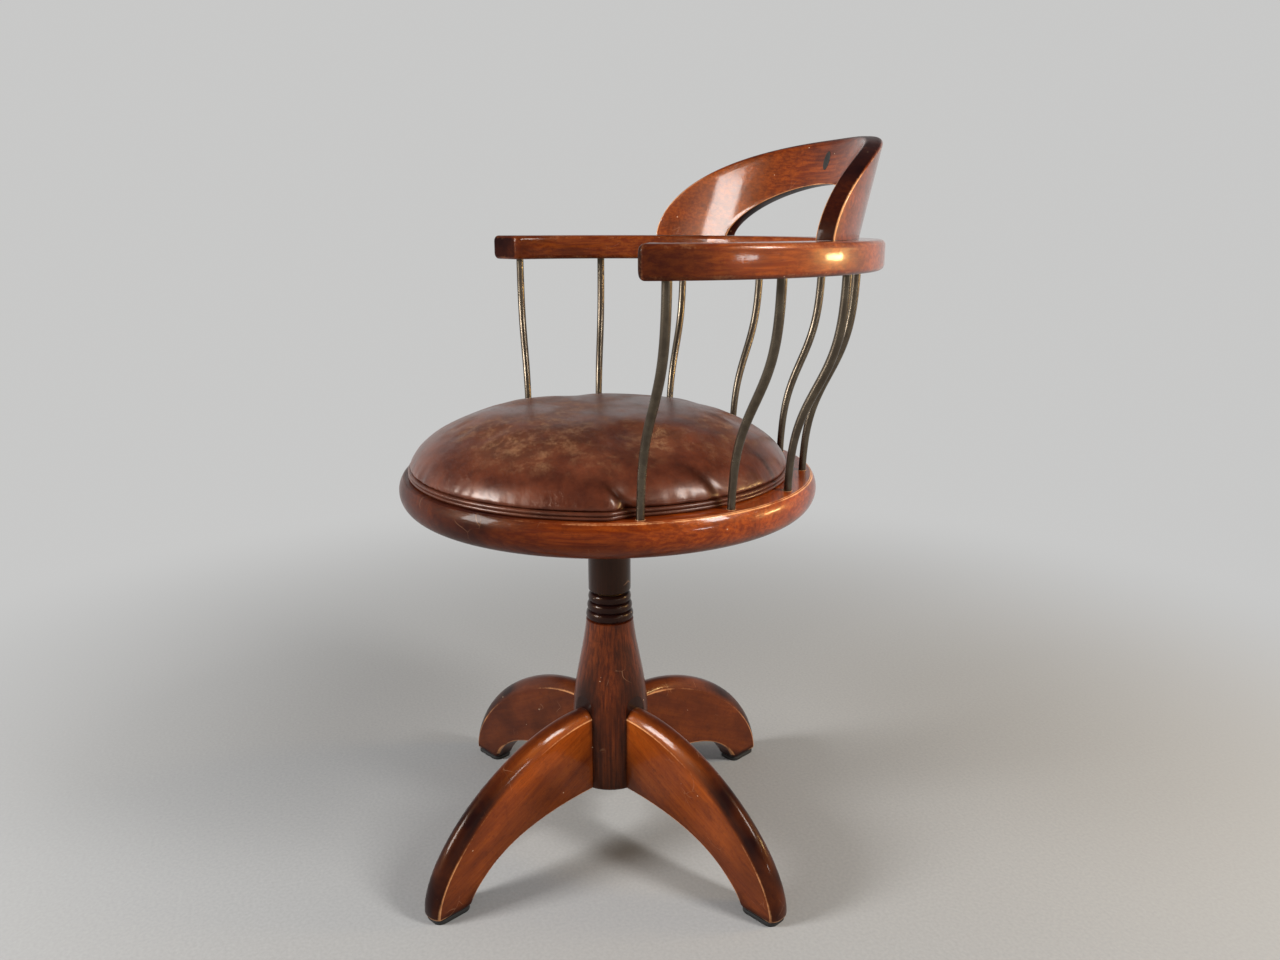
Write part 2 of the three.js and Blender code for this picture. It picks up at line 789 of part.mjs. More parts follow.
function armGeometry(side) {
  const start = bowAngleAt(bowJointAngle, fitGap / 2);
  const end = bowAngleAt(armEndAngle, -armTipCorner);
  const steps = 12;
  const rings = [];
  for (let i = 0; i <= steps; i += 1) {
    const lead = i === steps ? armTipSkewShare : 0;
    rings.push(bowRing(side * THREE.MathUtils.lerp(start, end, i / steps), 0, 0, lead));
  }
  rings.push(...armTipRings(side));
  const angles = spindleAngles().filter((angle) => side * angle > bowJointAngle);
  const cutters = [...angles.map(spindleHeadHole), bowDowelRod(side, fitGap), ...crestScrewHoles(side)];
  return cut(loft(rings), cutters);
}

function backRailGeometry() {
  const end = bowAngleAt(bowJointAngle, -fitGap / 2);
  const steps = 16;
  const rings = [];
  for (let i = 0; i <= steps; i += 1) {
    rings.push(bowRing(THREE.MathUtils.lerp(-end, end, i / steps), 0, 0, 0));
  }
  const angles = spindleAngles().filter((angle) => Math.abs(angle) < bowJointAngle);
  return cut(loft(rings), [...angles.map(spindleHeadHole), bowDowelRod(1, fitGap), bowDowelRod(-1, fitGap)]);
}

// Dowel across the joint of an arm and the back rail, level and along the bow.
function bowDowelRod(side, gap) {
  const angle = side * bowJointAngle;
  const middle = bowUnderside + bowThickness / 2;
  const centre = bowPoint(angle, bowDowelOffset, middle);
  const tangent = bowPoint(angle, bowDowelOffset + bowWidth, middle).sub(centre).normalize();
  const half = bowDowelLength / 2 + gap;
  const dowel = rod(bowDowelRadius + gap, -half, half, 12);
  dowel.rotateX(Math.PI / 2);
  dowel.rotateZ(Math.atan2(tangent.y, tangent.x));
  dowel.translate(centre.x, centre.y, centre.z);
  return dowel;
}

// Lean of the crest board at an angle from the centre back.
function crestLean(angle) {
  return THREE.MathUtils.lerp(crestMiddleLean, crestEndLean, (angle / crestEndAngle) ** 2);
}

// A point of the crest board: angle, rise over the bow, and side from its middle.
function crestPoint(angle, rise, side) {
  const lean = crestLean(angle);
  return bowPoint(angle, rise * Math.tan(lean) + side / Math.cos(lean) - crestInset, bowTop + rise);
}

// A point of an arched outline, from one foot (0) over the top to the other (Math.PI).
function archPoint(turn, endAngle, rise, spanShare, riseShare) {
  const across = Math.sign(Math.cos(turn)) * Math.abs(Math.cos(turn)) ** spanShare;
  return { angle: endAngle * across, rise: rise * Math.abs(Math.sin(turn)) ** riseShare };
}

// Section of the crest from the hand hole's edge, which is eased, to the outer edge, which is
// rounded over.
function crestRing(inner, outer, round) {
  const half = crestThickness / 2;
  const span = Math.hypot((outer.angle - inner.angle) * bowHalfSpan, outer.rise - inner.rise);
  const edge = crestEdge / span;
  const bend = round * (1 - Math.SQRT1_2);
  const at = (share, side) => {
    const angle = THREE.MathUtils.lerp(inner.angle, outer.angle, share);
    return crestPoint(angle, THREE.MathUtils.lerp(inner.rise, outer.rise, share), side);
  };
  const shares = [edge, 0.25, 0.5, 0.75, 1 - round / span];
  const ring = shares.map((share) => at(share, -half));
  ring.push(at(1 - bend / span, bend - half), at(1, round - half));
  ring.push(at(1, half - round), at(1 - bend / span, half - bend));
  ring.push(...shares.reverse().map((share) => at(share, half)));
  ring.push(at(0, half - crestEdge), at(0, crestEdge - half));
  return ring;
}

function crestGeometry() {
  const steps = 30;
  const below = (end) => ({ angle: end, rise: -cutOverrun });
  const rings = [crestRing(below(windowEndAngle), below(crestEndAngle), crestEdge)];
  for (let i = 0; i <= steps; i += 1) {
    const turn = Math.PI * i / steps;
    const inner = archPoint(turn, windowEndAngle, windowRise, windowSpanShare, windowRiseShare);
    const outer = archPoint(turn, crestEndAngle, crestRise, crestSpanShare, crestRiseShare);
    rings.push(crestRing(inner, outer, THREE.MathUtils.lerp(crestEdge, crestTopEdge, Math.sin(turn) ** 3)));
  }
  rings.push(crestRing(below(-windowEndAngle), below(-crestEndAngle), crestEdge));
  const seat = bowTop + fitGap;
  const slab = new THREE.BoxGeometry(4 * bowHalfSpan, 4 * bowHalfDepth, crestRise);
  slab.translate(0, 0, seat - crestRise / 2);
  const plugHole = plugRod(fitGap, cutOverrun);
  return cut(loft(rings), [slab, plugHole, ...crestScrewHoles(1), ...crestScrewHoles(-1)]);
}

// Upright oval rod in the centre of the crest's front face, out to its top, grown by a gap.
function plugRod(gap, top) {
  const half = plugHeight / 2 + gap;
  const geometry = rod(half, -plugDepth - gap, top, 24);
  geometry.scale((plugWidth / 2 + gap) / half, 1, 1);
  const place = crestPoint(0, plugRise, -crestThickness / 2);
  geometry.rotateX(Math.PI / 2 - crestMiddleLean);
  geometry.translate(place.x, place.y, place.z);
  return geometry;
}

function crestScrewPlaces(side) {
  const bite = crestScrew.length - bowThickness;
  const offsetAt = (angle) => bite / 2 * Math.tan(crestLean(angle)) - crestInset;
  return crestScrewAngles.map((angle) => bowPoint(side * angle, offsetAt(angle), 0));
}

function crestScrewHoles(side) {
  const holeAt = (place) => screwHole(crestScrew, bowUnderside).translate(place.x, place.y, 0);
  return crestScrewPlaces(side).map(holeAt);
}

// Plan of the cushion about the swivel axis. Behind the front spindles it stays inside them,
// and in front of them it steps out almost to the ring's arris.
const cushionBottom = ringTop + fitGap;
const weltHeight = 4 * weltBeadRadius;
const cushionSeam = cushionBottom + weltHeight + fitGap;
const cushionAxis = new THREE.Vector3(0, -cushionSetForward, 0);
const frontSpindleAngle = spindleAngle(spindleCount - 1);
const cushionSpan = spindleFoot(frontSpindleAngle).setZ(0).distanceTo(cushionAxis);
const cushionBackRadius = cushionSpan - spindleFootRadius - cushionClearance;
const cushionStepStart = frontSpindleAngle + 1.5 * spindleFootRadius / spindleCircleRadius;
const cushionStepEnd = cushionStepStart + cushionStep / spindleCircleRadius;

function cushionPlanRadius(angle) {
  const forward = cushionSetForward;
  const across = forward * Math.sin(angle);
  const inside = Math.sqrt(cushionBackRadius ** 2 - across ** 2) - forward * Math.cos(angle);
  const outside = ringArrisRadius() - cushionArrisMargin;
  const share = THREE.MathUtils.smoothstep(Math.abs(angle), cushionStepStart, cushionStepEnd);
  return THREE.MathUtils.lerp(inside, outside, share);
}

// A point of the plan, moved in towards the axis by a distance.
function cushionPlanPoint(angle, inward, height) {
  const radius = cushionPlanRadius(angle) - inward;
  return new THREE.Vector3(radius * Math.sin(angle), radius * Math.cos(angle), height);
}

// Angles from the centre back round to the centre back, closer together at the two steps.
function cushionAngles() {
  const stops = [0, cushionStepStart, cushionStepEnd, 2 * Math.PI - cushionStepEnd];
  stops.push(2 * Math.PI - cushionStepStart, 2 * Math.PI);
  const counts = [15, 4, 16, 4, 15];
  const angles = [];
  counts.forEach((count, k) => {
    for (let i = 0; i < count; i += 1) {
      angles.push(THREE.MathUtils.lerp(stops[k], stops[k + 1], i / count));
    }
  });
  return angles.map((angle) => (angle > Math.PI ? angle - 2 * Math.PI : angle));
}

// Cushion: a foot inside the welt, sides drawn in to the seam and a domed top.
function cushionGeometry() {
  const angles = cushionAngles();
  const foot = weltInset + weltWidth + fitGap;
  const level = (inward, height) => angles.map((angle) => cushionPlanPoint(angle, inward, height));
  const rings = [level(foot, cushionBottom), level(foot, cushionSeam)];
  const steps = 12;
  for (let i = 0; i < steps; i += 1) {
    const turn = Math.PI / 2 * i / steps;
    const rise = cushionDomeHeight * Math.sin(turn) ** cushionCrownShare;
    const inward = cushionDrawIn * Math.exp(-rise / cushionDrawHeight);
    const share = Math.cos(turn) ** cushionSideShare;
    const height = cushionSeam + rise;
    const top = cushionAxis.clone().setZ(height);
    rings.push(level(inward, height).map((point) => top.clone().lerp(point, share)));
  }
  const crown = cushionAxis.clone().setZ(cushionSeam + cushionDomeHeight);
  return loft(rings, crown);
}

// Double welt: two beads, one on the other, on one strip.
function weltGeometry() {
  const section = [[weltInset + weltWidth, cushionBottom]];
  for (const level of [1, 3]) {
    for (const turn of level === 1 ? [-0.5, -0.25, 0, 0.25, 0.5] : [-0.25, 0, 0.25, 0.5]) {
      const angle = Math.PI * turn;
      const inward = weltInset + weltBeadRadius * (1 - Math.cos(angle));
      section.push([inward, cushionBottom + weltBeadRadius * (level + Math.sin(angle))]);
    }
  }
  section.push([weltInset + weltWidth, cushionBottom + weltHeight]);
  const ringAt = (angle) => section.map(([inward, height]) => cushionPlanPoint(angle, inward, height));
  return loopLoft(cushionAngles().map(ringAt));
}

function buildSeat() {
  const seat = new THREE.Group();
  addPiece(seat, 'stem', stemGeometry(), steel);
  const washerBottom = stemWasherTop - stemWasherThickness;
  const washerRadius = bushFlangeRadius - recessClearance;
  addPiece(seat, 'stem_washer', tube(stemBore, washerRadius, washerBottom, stemWasherTop, 18), steel);
  addPiece(seat, 'stem_nut', nutGeometry(), steel);
  addPiece(seat, 'collar', collarGeometry(), mahogany);
  addPiece(seat, 'seat_plate', plateGeometry(), iron);
  plateScrewPlaces().forEach(([x, y], k) => {
    const screw = addPiece(seat, `plate_screw_${k + 1}`, screwBody(plateScrew, plateUnderside), steel);
    screw.position.set(x, y, 0);
  });
  const ring = turnedRing(ringProfile(), 60);
  addPiece(seat, 'seat_ring', cut(ring, spindleAngles().map(spindleFootHole)), mahogany);
  const board = rod(ringRebateRadius - fitGap, boardUnderside, ringTop, 60);
  addPiece(seat, 'seat_board', cut(board, plateScrewHoles()), beech);
  addPiece(seat, 'cushion', cushionGeometry(), leather);
  addPiece(seat, 'welt', weltGeometry(), leather);
  spindleAngles().forEach((angle, k) => {
    addPiece(seat, `spindle_${k + 1}`, spindleGeometry(angle), agedBronze);
  });
  return seat;
}

function buildBow() {
  const bow = new THREE.Group();
  addPiece(bow, 'arm_right', armGeometry(1), mahogany);
  addPiece(bow, 'arm_left', armGeometry(-1), mahogany);
  addPiece(bow, 'back_rail', backRailGeometry(), mahogany);
  addPiece(bow, 'bow_dowel_right', bowDowelRod(1, 0), beech);
  addPiece(bow, 'bow_dowel_left', bowDowelRod(-1, 0), beech);
  addPiece(bow, 'crest', crestGeometry(), mahogany);
  addPiece(bow, 'crest_plug', plugRod(0, plugProud), darkPlug);
  [...crestScrewPlaces(1), ...crestScrewPlaces(-1)].forEach((place, k) => {
    const screw = addPiece(bow, `crest_screw_${k + 1}`, screwBody(crestScrew, bowUnderside), steel);
    screw.position.copy(place);
  });
  return bow;
}

// The finished chair stands on its origin, with the middle of its box over it.
const chair = new THREE.Group();
chair.add(buildBase(), buildSeat(), buildBow());
const box = new THREE.Box3().setFromObject(chair, true);
const middle = box.getCenter(new THREE.Vector3());
chair.position.set(-middle.x, -middle.y, -box.min.z);
chair.updateMatrixWorld(true);

export default chair;
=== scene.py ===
import bpy
import bmesh
from math import asin, atan2, copysign, cos, exp, floor, hypot, pi, radians, sin, sqrt, tan, tanh
from mathutils import Matrix, Vector, noise


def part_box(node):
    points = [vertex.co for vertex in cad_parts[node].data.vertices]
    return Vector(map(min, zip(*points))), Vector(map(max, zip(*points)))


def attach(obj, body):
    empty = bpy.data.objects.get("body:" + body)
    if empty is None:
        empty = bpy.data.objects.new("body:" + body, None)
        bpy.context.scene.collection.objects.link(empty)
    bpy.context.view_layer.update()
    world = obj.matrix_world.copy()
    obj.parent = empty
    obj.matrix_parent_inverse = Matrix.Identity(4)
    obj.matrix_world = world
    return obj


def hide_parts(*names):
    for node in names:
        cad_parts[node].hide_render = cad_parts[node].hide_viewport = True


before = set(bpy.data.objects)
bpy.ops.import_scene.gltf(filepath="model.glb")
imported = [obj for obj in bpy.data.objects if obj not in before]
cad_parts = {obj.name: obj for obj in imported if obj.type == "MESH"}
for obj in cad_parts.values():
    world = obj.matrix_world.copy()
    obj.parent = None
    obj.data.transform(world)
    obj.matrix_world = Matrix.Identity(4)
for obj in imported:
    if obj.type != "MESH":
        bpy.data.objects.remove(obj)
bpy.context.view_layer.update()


# The view. The camera stands off the chair's right side, a little to the front,
# just under the height of the crest, and looks slightly down.
def pick(piece=None):
    """Deselects everything, then selects the piece, if one is given, and makes it active."""
    bpy.ops.object.select_all(action="DESELECT")
    if piece:
        piece.select_set(True)
        bpy.context.view_layer.objects.active = piece


pick()
bpy.ops.object.camera_add(
    location=(1.0487, -0.3642, 0.720),
    rotation=(radians(75.639), 0, radians(70.08)),
)
camera = bpy.context.object
camera.data.sensor_width = 36
camera.data.lens = 28.29
camera.data.clip_start = 0.02
scene = bpy.context.scene
scene.camera = camera
scene.view_settings.view_transform = "Standard"


# The studio. A pale floor runs out into an even pale backdrop. Soft boxes stand on either side of
# the camera with a small window between them, and a warm lamp with a wide dim glow is low on the
# right.
def set_all(thing, settings):
    for name, value in settings.items():
        setattr(thing, name, value)


def add_node(tree, kind, inputs=None, **settings):
    node = tree.nodes.new(f"ShaderNode{kind}")
    set_all(node, settings)
    for name, value in (inputs or {}).items():
        if isinstance(value, bpy.types.NodeSocket):
            tree.links.new(value, node.inputs[name])
        else:
            node.inputs[name].default_value = value
    return node


def calculate(operation, *values, **settings):
    tree = next(value for value in values if isinstance(value, bpy.types.NodeSocket)).id_data
    sockets = dict(enumerate(values))
    return add_node(tree, "Math", sockets, operation=operation, **settings).outputs[0]


def times(value, factor, **settings):
    return calculate("MULTIPLY", value, factor, **settings)


def fade(value, low, high, start=0.0, end=1.0):
    sockets = {"Value": value, "From Min": low, "From Max": high, "To Min": start, "To Max": end}
    return add_node(value.id_data, "MapRange", sockets, interpolation_type="SMOOTHSTEP").outputs[0]


def blend(share, under, over):
    sockets = {"Factor": share, "A": under, "B": over}
    return add_node(share.id_data, "Mix", sockets, data_type="RGBA").outputs["Result"]


def speckle(place, scale, detail, roughness=0.5):
    sockets = {"Vector": place, "Scale": scale, "Detail": detail, "Roughness": roughness}
    return add_node(place.id_data, "TexNoise", sockets).outputs[0]


def length_of(vector):
    return add_node(vector.id_data, "VectorMath", {0: vector}, operation="LENGTH").outputs["Value"]


def join_shaders(share, first, second):
    return add_node(share.id_data, "MixShader", {0: share, 1: first, 2: second}).outputs[0]


def seen_directly(tree):
    path = add_node(tree, "LightPath").outputs
    seen = calculate("MAXIMUM", path["Is Camera Ray"], path["Is Glossy Ray"])
    return calculate("MAXIMUM", seen, path["Is Transmission Ray"])


backdrop_colour = (0.58, 0.58, 0.575, 1)
ceiling_colour = (0.10, 0.10, 0.105, 1)
room_light = (0.30, 0.30, 0.31, 1)
world = bpy.data.worlds.new("studio")
scene.world = world
world.use_nodes = True
tree = world.node_tree
tree.nodes.clear()
direction = add_node(tree, "TexCoord").outputs["Generated"]
rise = add_node(tree, "SeparateXYZ", {"Vector": direction}).outputs["Z"]
room_colour = blend(fade(rise, 0.20, 0.48), backdrop_colour, ceiling_colour)
seen = add_node(tree, "Background", {"Color": room_colour}).outputs[0]
room = add_node(tree, "Background", {"Color": room_light}).outputs[0]
add_node(tree, "OutputWorld", {"Surface": join_shaders(seen_directly(tree), room, seen)})


def new_paint(name):
    paint = bpy.data.materials.new(name)
    paint.use_nodes = True
    tree = paint.node_tree
    tree.nodes.clear()
    return paint, tree, add_node(tree, "TexCoord").outputs["Object"]


# The floor turns to the backdrop's colour with the distance, and from below it isn't seen.
pick()
bpy.ops.mesh.primitive_circle_add(vertices=96, radius=7, fill_type="NGON")
studio_floor = bpy.context.object
studio_floor.name = "studio_floor"
floor_paint, tree, place = new_paint("studio_floor")
colour = blend(speckle(place, 260, 3), (0.27, 0.27, 0.266, 1), (0.35, 0.35, 0.345, 1))
painted = {"Base Color": colour, "Roughness": 0.85, "Specular IOR Level": 0.2}
painted = add_node(tree, "BsdfPrincipled", painted).outputs[0]
backdrop = add_node(tree, "Emission", {"Color": backdrop_colour}).outputs[0]
far = times(fade(length_of(place), 0.40, 1.55), seen_directly(tree))
from_above = join_shaders(far, painted, backdrop)
underneath = add_node(tree, "NewGeometry").outputs["Backfacing"]
unseen = add_node(tree, "BsdfTransparent").outputs[0]
add_node(tree, "OutputMaterial", {"Surface": join_shaders(underneath, from_above, unseen)})
studio_floor.data.materials.append(floor_paint)


def hang_lamp(name, turn, rise, distance, width, height, power, colour):
    """Hangs a lamp that looks at the chair's middle, by its direction in degrees from there."""
    chair_middle = Vector((0, 0, 0.42))
    turn = radians(turn)
    rise = radians(rise)
    level = cos(rise)
    toward = Vector((level * cos(turn), level * sin(turn), sin(rise)))
    pick()
    bpy.ops.object.light_add(
        type="AREA",
        location=chair_middle + toward * distance,
        rotation=toward.to_track_quat("Z", "Y").to_euler(),
    )
    lamp = bpy.context.object
    lamp.name = name
    lamp.data.shape = "RECTANGLE"
    lamp.data.size = width
    lamp.data.size_y = height
    lamp.data.energy = power
    lamp.data.color = colour
    lamp.visible_camera = False


hang_lamp("soft_box_right", 42, 36, 2.1, 0.40, 0.66, 38, (1.0, 0.985, 0.96))
hang_lamp("soft_box_left", -89, 23, 2.1, 0.58, 0.74, 55, (1.0, 0.99, 0.98))
hang_lamp("far_window", 28, 8, 2.1, 0.32, 0.12, 3.5, (1.0, 0.99, 0.97))
hang_lamp("warm_lamp", 72, 8, 1.8, 0.34, 0.10, 7.5, (1.0, 0.76, 0.34))
hang_lamp("warm_glow", 71, 9, 1.9, 0.74, 0.32, 4.5, (1.0, 0.48, 0.12))


# Column. A single turning of mahogany with a straight foot, a flare and three black-stained
# beads at its neck. Four flats with round-topped pockets are cut in its foot for the legs,
# and it is bored for the stem. It is stained and varnished, darker toward the bottom, with
# painted shade on the flare behind each leg and on the pocket faces.
def start_piece(name, primitive, **size):
    pick()
    primitive(**size)
    piece = bpy.context.object
    piece.name = name
    piece.data.name = name
    bpy.ops.object.mode_set(mode="EDIT")
    return piece


def close_up(piece):
    bpy.ops.mesh.select_all(action="SELECT")
    bpy.ops.mesh.remove_doubles(threshold=0.00001)
    bpy.ops.mesh.normals_make_consistent(inside=False)
    bpy.ops.mesh.select_all(action="DESELECT")
    bpy.ops.object.mode_set(mode="OBJECT")


def start_outline(name, points, fill="NOTHING"):
    """Starts a piece as a closed outline through the points, all of it selected."""
    size = {"vertices": len(points), "radius": 0.01, "fill_type": fill}
    piece = start_piece(name, bpy.ops.mesh.primitive_circle_add, **size)
    shape = bmesh.from_edit_mesh(piece.data)
    for corner, point in zip(shape.verts, points):
        corner.co = point
    bmesh.update_edit_mesh(piece.data)
    bpy.ops.mesh.select_all(action="SELECT")
    return piece


def turn_on_lathe(name, profile, axis, steps):
    points = [(axis.x + radius, axis.y, height) for radius, height in profile]
    piece = start_outline(name, points)
    bpy.ops.mesh.spin(steps=steps, angle=2 * pi, center=axis, axis=(0, 0, 1))
    close_up(piece)
    return piece


def modify(piece, name, kind, **settings):
    modifier = piece.modifiers.new(name, kind)
    set_all(modifier, settings)
    bpy.context.view_layer.objects.active = piece
    bpy.ops.object.modifier_apply(modifier=modifier.name)


def round_over(piece, width, segments, degrees):
    limit = {"limit_method": "ANGLE", "angle_limit": radians(degrees)}
    modify(piece, "rounding", "BEVEL", width=width, segments=segments, **limit)


def smooth(piece, degrees):
    pick(piece)
    bpy.ops.object.shade_smooth_by_angle(angle=radians(degrees))


def eased_corner(reach, level, edge):
    """The rounded bottom corner of a profile: a quarter circle of the radius edge."""
    turns = [radians(30 * step) for step in range(4)]
    return [(reach - edge + edge * sin(turn), level + edge - edge * cos(turn)) for turn in turns]


def curve_point(controls, share):
    a, b, c, d = (Vector(control) for control in controls)
    rest = 1 - share
    return a * rest**3 + b * 3 * rest**2 * share + c * 3 * rest * share**2 + d * share**3


def mark_arrises(piece, soft, sharp, reach=0.0):
    """Keeps how sharply the surface turns outwards at each point, for the worn edges, whose pale paint
    also stands in for their highlights.
    """
    shape = bmesh.new()
    shape.from_mesh(piece.data)
    bends = []
    for point in shape.verts:
        sharpest = 0.0
        for edge in point.link_edges:
            if len(edge.link_faces) == 2:
                across = sum(face.calc_area() for face in edge.link_faces) / 2
                across /= max(edge.calc_length(), 1e-5)
                sharpest = max(sharpest, edge.calc_face_angle_signed(0) / max(across, 2e-4))
        bends.append(min(1.0, max(0.0, (sharpest - soft) / (sharp - soft))))
    worn = list(bends)
    for edge in shape.edges:
        first, second = (point.index for point in edge.verts)
        worn[first] = max(worn[first], reach * bends[second])
        worn[second] = max(worn[second], reach * bends[first])
    shape.free()
    arris = piece.data.attributes.new("arris", "FLOAT", "POINT")
    arris.data.foreach_set("value", worn)


def lay_grain(piece, plank, shift=(0, 0, 0)):
    """Keeps where each point lay in the straight plank: along it, across it and through it."""
    grain = piece.data.attributes.new("grain", "FLOAT_VECTOR", "POINT")
    for point, place in zip(piece.data.vertices, grain.data):
        place.vector = plank(point.co) + Vector(shift)


def ease(value, low, high):
    share = min(1.0, max(0.0, (value - low) / (high - low)))
    return share * share * (3 - 2 * share)


def lay_stain_and_shade(piece, how_dark):
    """Keeps how dark the stain and the painted shade lie at each point, from its place and the way it
    faces.
    """
    shade = piece.data.attributes.new("shade", "FLOAT", "POINT")
    depths = [how_dark(point.co, point.normal) for point in piece.data.vertices]
    shade.data.foreach_set("value", depths)


def finish_piece(piece, body, node, paint):
    piece.data.materials.clear()
    piece.data.materials.append(paint)
    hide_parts(node)
    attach(piece, body)


stem_low, stem_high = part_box("stem")
swivel = Vector(((stem_low.x + stem_high.x) / 2, (stem_low.y + stem_high.y) / 2, 0))
base_turn = radians(24.6)
column_bottom = 0.071
column_foot_radius = 0.0447
bead_pitch = 0.0107
bead_radius = 0.0036
column_neck = 0.272
beads_bottom = column_neck + 0.00115
column_top = beads_bottom + 3 * bead_pitch
cover_recess = 0.0195
stem_bore = 0.0140
washer_seat = 0.0183
column_profile = [(cover_recess, column_bottom)] + eased_corner(column_foot_radius, column_bottom, 0.002)
column_profile += [(column_foot_radius, 0.085 + 0.013 * step) for step in range(5)]
flare = [(0.0447, 0.150), (0.0447, 0.19502), (0.030507, 0.235034), (0.0276, column_neck)]
column_profile += [tuple(curve_point(flare, step / 26)) for step in range(27)]
for bead in range(3):
    groove = 0.0278 - 0.0013 * bead - bead_radius
    for step in range(15):
        turn = pi * step / 14
        radius = groove + bead_radius * sin(turn) ** 0.85 - 0.00065 * step / 14
        height = beads_bottom + bead_pitch * (bead + 0.5 - 0.5 * cos(turn))
        column_profile.append((radius, height))
washer_level = column_top - 0.0031
recess_top = 0.108
column_profile += [(washer_seat, column_top), (washer_seat, washer_level), (stem_bore, washer_level)]
column_profile += [(stem_bore, recess_top), (cover_recess, recess_top)]
column = turn_on_lathe("turned_column", column_profile, swivel, 112)

leg_thickness = 0.028
flat_radius = 0.0415
pocket_spring = 0.1701
pocket_half = leg_thickness / 2 + 0.0003
pocket_outline = [(flat_radius, side, column_bottom - 0.01) for side in (-pocket_half, pocket_half)]
for step in range(32):
    turn = pi * step / 31
    pocket_outline.append((flat_radius, pocket_half * cos(turn), pocket_spring + pocket_half * sin(turn)))
pocket_cutter = start_outline("pocket_cutter", pocket_outline, "NGON")
bpy.ops.mesh.extrude_region_move(TRANSFORM_OT_translate={"value": (0.02, 0, 0)})
close_up(pocket_cutter)
quarter_turns = []
for quarter in range(4):
    turned = Matrix.Rotation(base_turn + quarter * pi / 2, 4, "Z")
    quarter_turns.append(Matrix.Translation(swivel) @ turned)
    pocket_cutter.matrix_world = quarter_turns[quarter]
    modify(column, "leg_pocket", "BOOLEAN", operation="DIFFERENCE", object=pocket_cutter)
bpy.data.objects.remove(pocket_cutter)
smooth(column, 32)


def off_axis(place):
    return Vector((place.x - swivel.x, place.y - swivel.y))


def column_stain_and_shade(place, facing):
    # The beads are stained black and the foot darkens toward the bottom. Painted shade darkens the flare
    # behind each leg, where it meets the legs.
    beads = ease(place.z, beads_bottom - 0.0015, beads_bottom + 0.0010)
    low = 0.35 * ease(place.z, 0.100, 0.072)
    flat = off_axis(place)
    off_leg = (atan2(flat.y, flat.x) - base_turn + pi / 4) % (pi / 2) - pi / 4
    painted_shade_behind_legs = 0.95 * exp(-((off_leg / 0.42) ** 2)) * ease(place.z, 0.236, 0.184)
    return max(beads, low, painted_shade_behind_legs)


def upright_plank(place):
    return Vector((place.z, *off_axis(place)))


lay_stain_and_shade(column, column_stain_and_shade)
lay_grain(column, upright_plank, (0.0, 0.013, 0.008))


def new_group(name, **takes):
    tree = bpy.data.node_groups.new(name, "ShaderNodeTree")
    for label, kind in takes.items():
        tree.interface.new_socket(label, in_out="INPUT", socket_type=f"NodeSocket{kind}")
    return tree, tree.nodes.new("NodeGroupInput").outputs


def give_out(tree, **results):
    for label in results:
        tree.interface.new_socket(label, in_out="OUTPUT", socket_type="NodeSocketFloat")
    given = tree.nodes.new("NodeGroupOutput").inputs
    for label, value in results.items():
        tree.links.new(value, given[label])


def times_plus(value, factor, added):
    return calculate("MULTIPLY_ADD", value, factor, added)


def cell_edges(place, scale):
    sockets = {"Vector": place, "Scale": scale}
    cells = add_node(place.id_data, "TexVoronoi", sockets, feature="DISTANCE_TO_EDGE")
    return cells.outputs["Distance"]


def stretched_noise(place, stretch, detail=3.0, roughness=0.5, distortion=0.0):
    place = add_node(place.id_data, "Mapping", {"Vector": place, "Scale": stretch}).outputs[0]
    sockets = {"Vector": place, "Scale": 1, "Detail": detail, "Roughness": roughness}
    return add_node(place.id_data, "TexNoise", {**sockets, "Distortion": distortion}).outputs[0]


# Grain of the mahogany: cloudy figure, long streaks and short dark pores.
grain_group, taken = new_group("mahogany_grain", Grain="Vector")
plank = taken["Grain"]
clouds = stretched_noise(plank, (13, 42, 42), 4, 0.55, 0.4)
streaks = stretched_noise(plank, (11, 330, 330), 4, 0.62, 0.2)
pores = fade(stretched_noise(plank, (190, 2100, 2100), 2), 0.58, 0.70)
fibres = stretched_noise(plank, (45, 1500, 1500), 2)
ripples = stretched_noise(plank, (26, 70, 70), 2)
height = times_plus(fibres, 0.10, times(ripples, 0.7))
give_out(
    grain_group,
    Figure=fade(clouds, 0.24, 0.76),
    Streaks=fade(streaks, 0.35, 0.66),
    Pores=pores,
    Height=times_plus(pores, -0.22, height),
)

# Wear: rubbed edges, painted pale partly as their highlights, small nicks and fine scratches.
wear_group, taken = new_group("handling_wear", Place="Vector", Arris="Float")
place, arris = taken["Place"], taken["Arris"]
uneven = times_plus(speckle(place, 34, 4), 1.7, -0.1)
speckled = times_plus(speckle(place, 420, 2), 0.4, -0.2)
reach = calculate("ADD", times(arris, uneven), speckled)
pits = add_node(wear_group, "TexVoronoi", {"Vector": place, "Scale": 95.0}).outputs
rare = calculate("GREATER_THAN", times_plus(arris, 0.06, pits["Color"]), 0.78)
small = fade(pits["Distance"], 0.045, 0.085, 1.0, 0.0)
bent = {"Vector": place, "Scale": 22.0, "Detail": 1.0}
bent = {0: add_node(wear_group, "TexNoise", bent).outputs["Color"], 1: (0.05,) * 3, 2: place}
bent = add_node(wear_group, "VectorMath", bent, operation="MULTIPLY_ADD").outputs[0]
thin = fade(cell_edges(bent, 38), 0.0, 0.014, 1.0, 0.0)
patches = fade(speckle(place, 27, 2), 0.60, 0.72)
give_out(
    wear_group,
    Rubbed=fade(reach, 0.22, 0.80),
    Nicks=times(rare, small),
    Scratches=times(thin, patches),
)


def emboss(height, strength, depth):
    sockets = {"Height": height, "Strength": strength, "Distance": depth}
    return add_node(height.id_data, "Bump", sockets).outputs[0]


def set_surface(tree, values):
    surface = add_node(tree, "BsdfPrincipled", values)
    add_node(tree, "OutputMaterial", {"Surface": surface.outputs[0]})


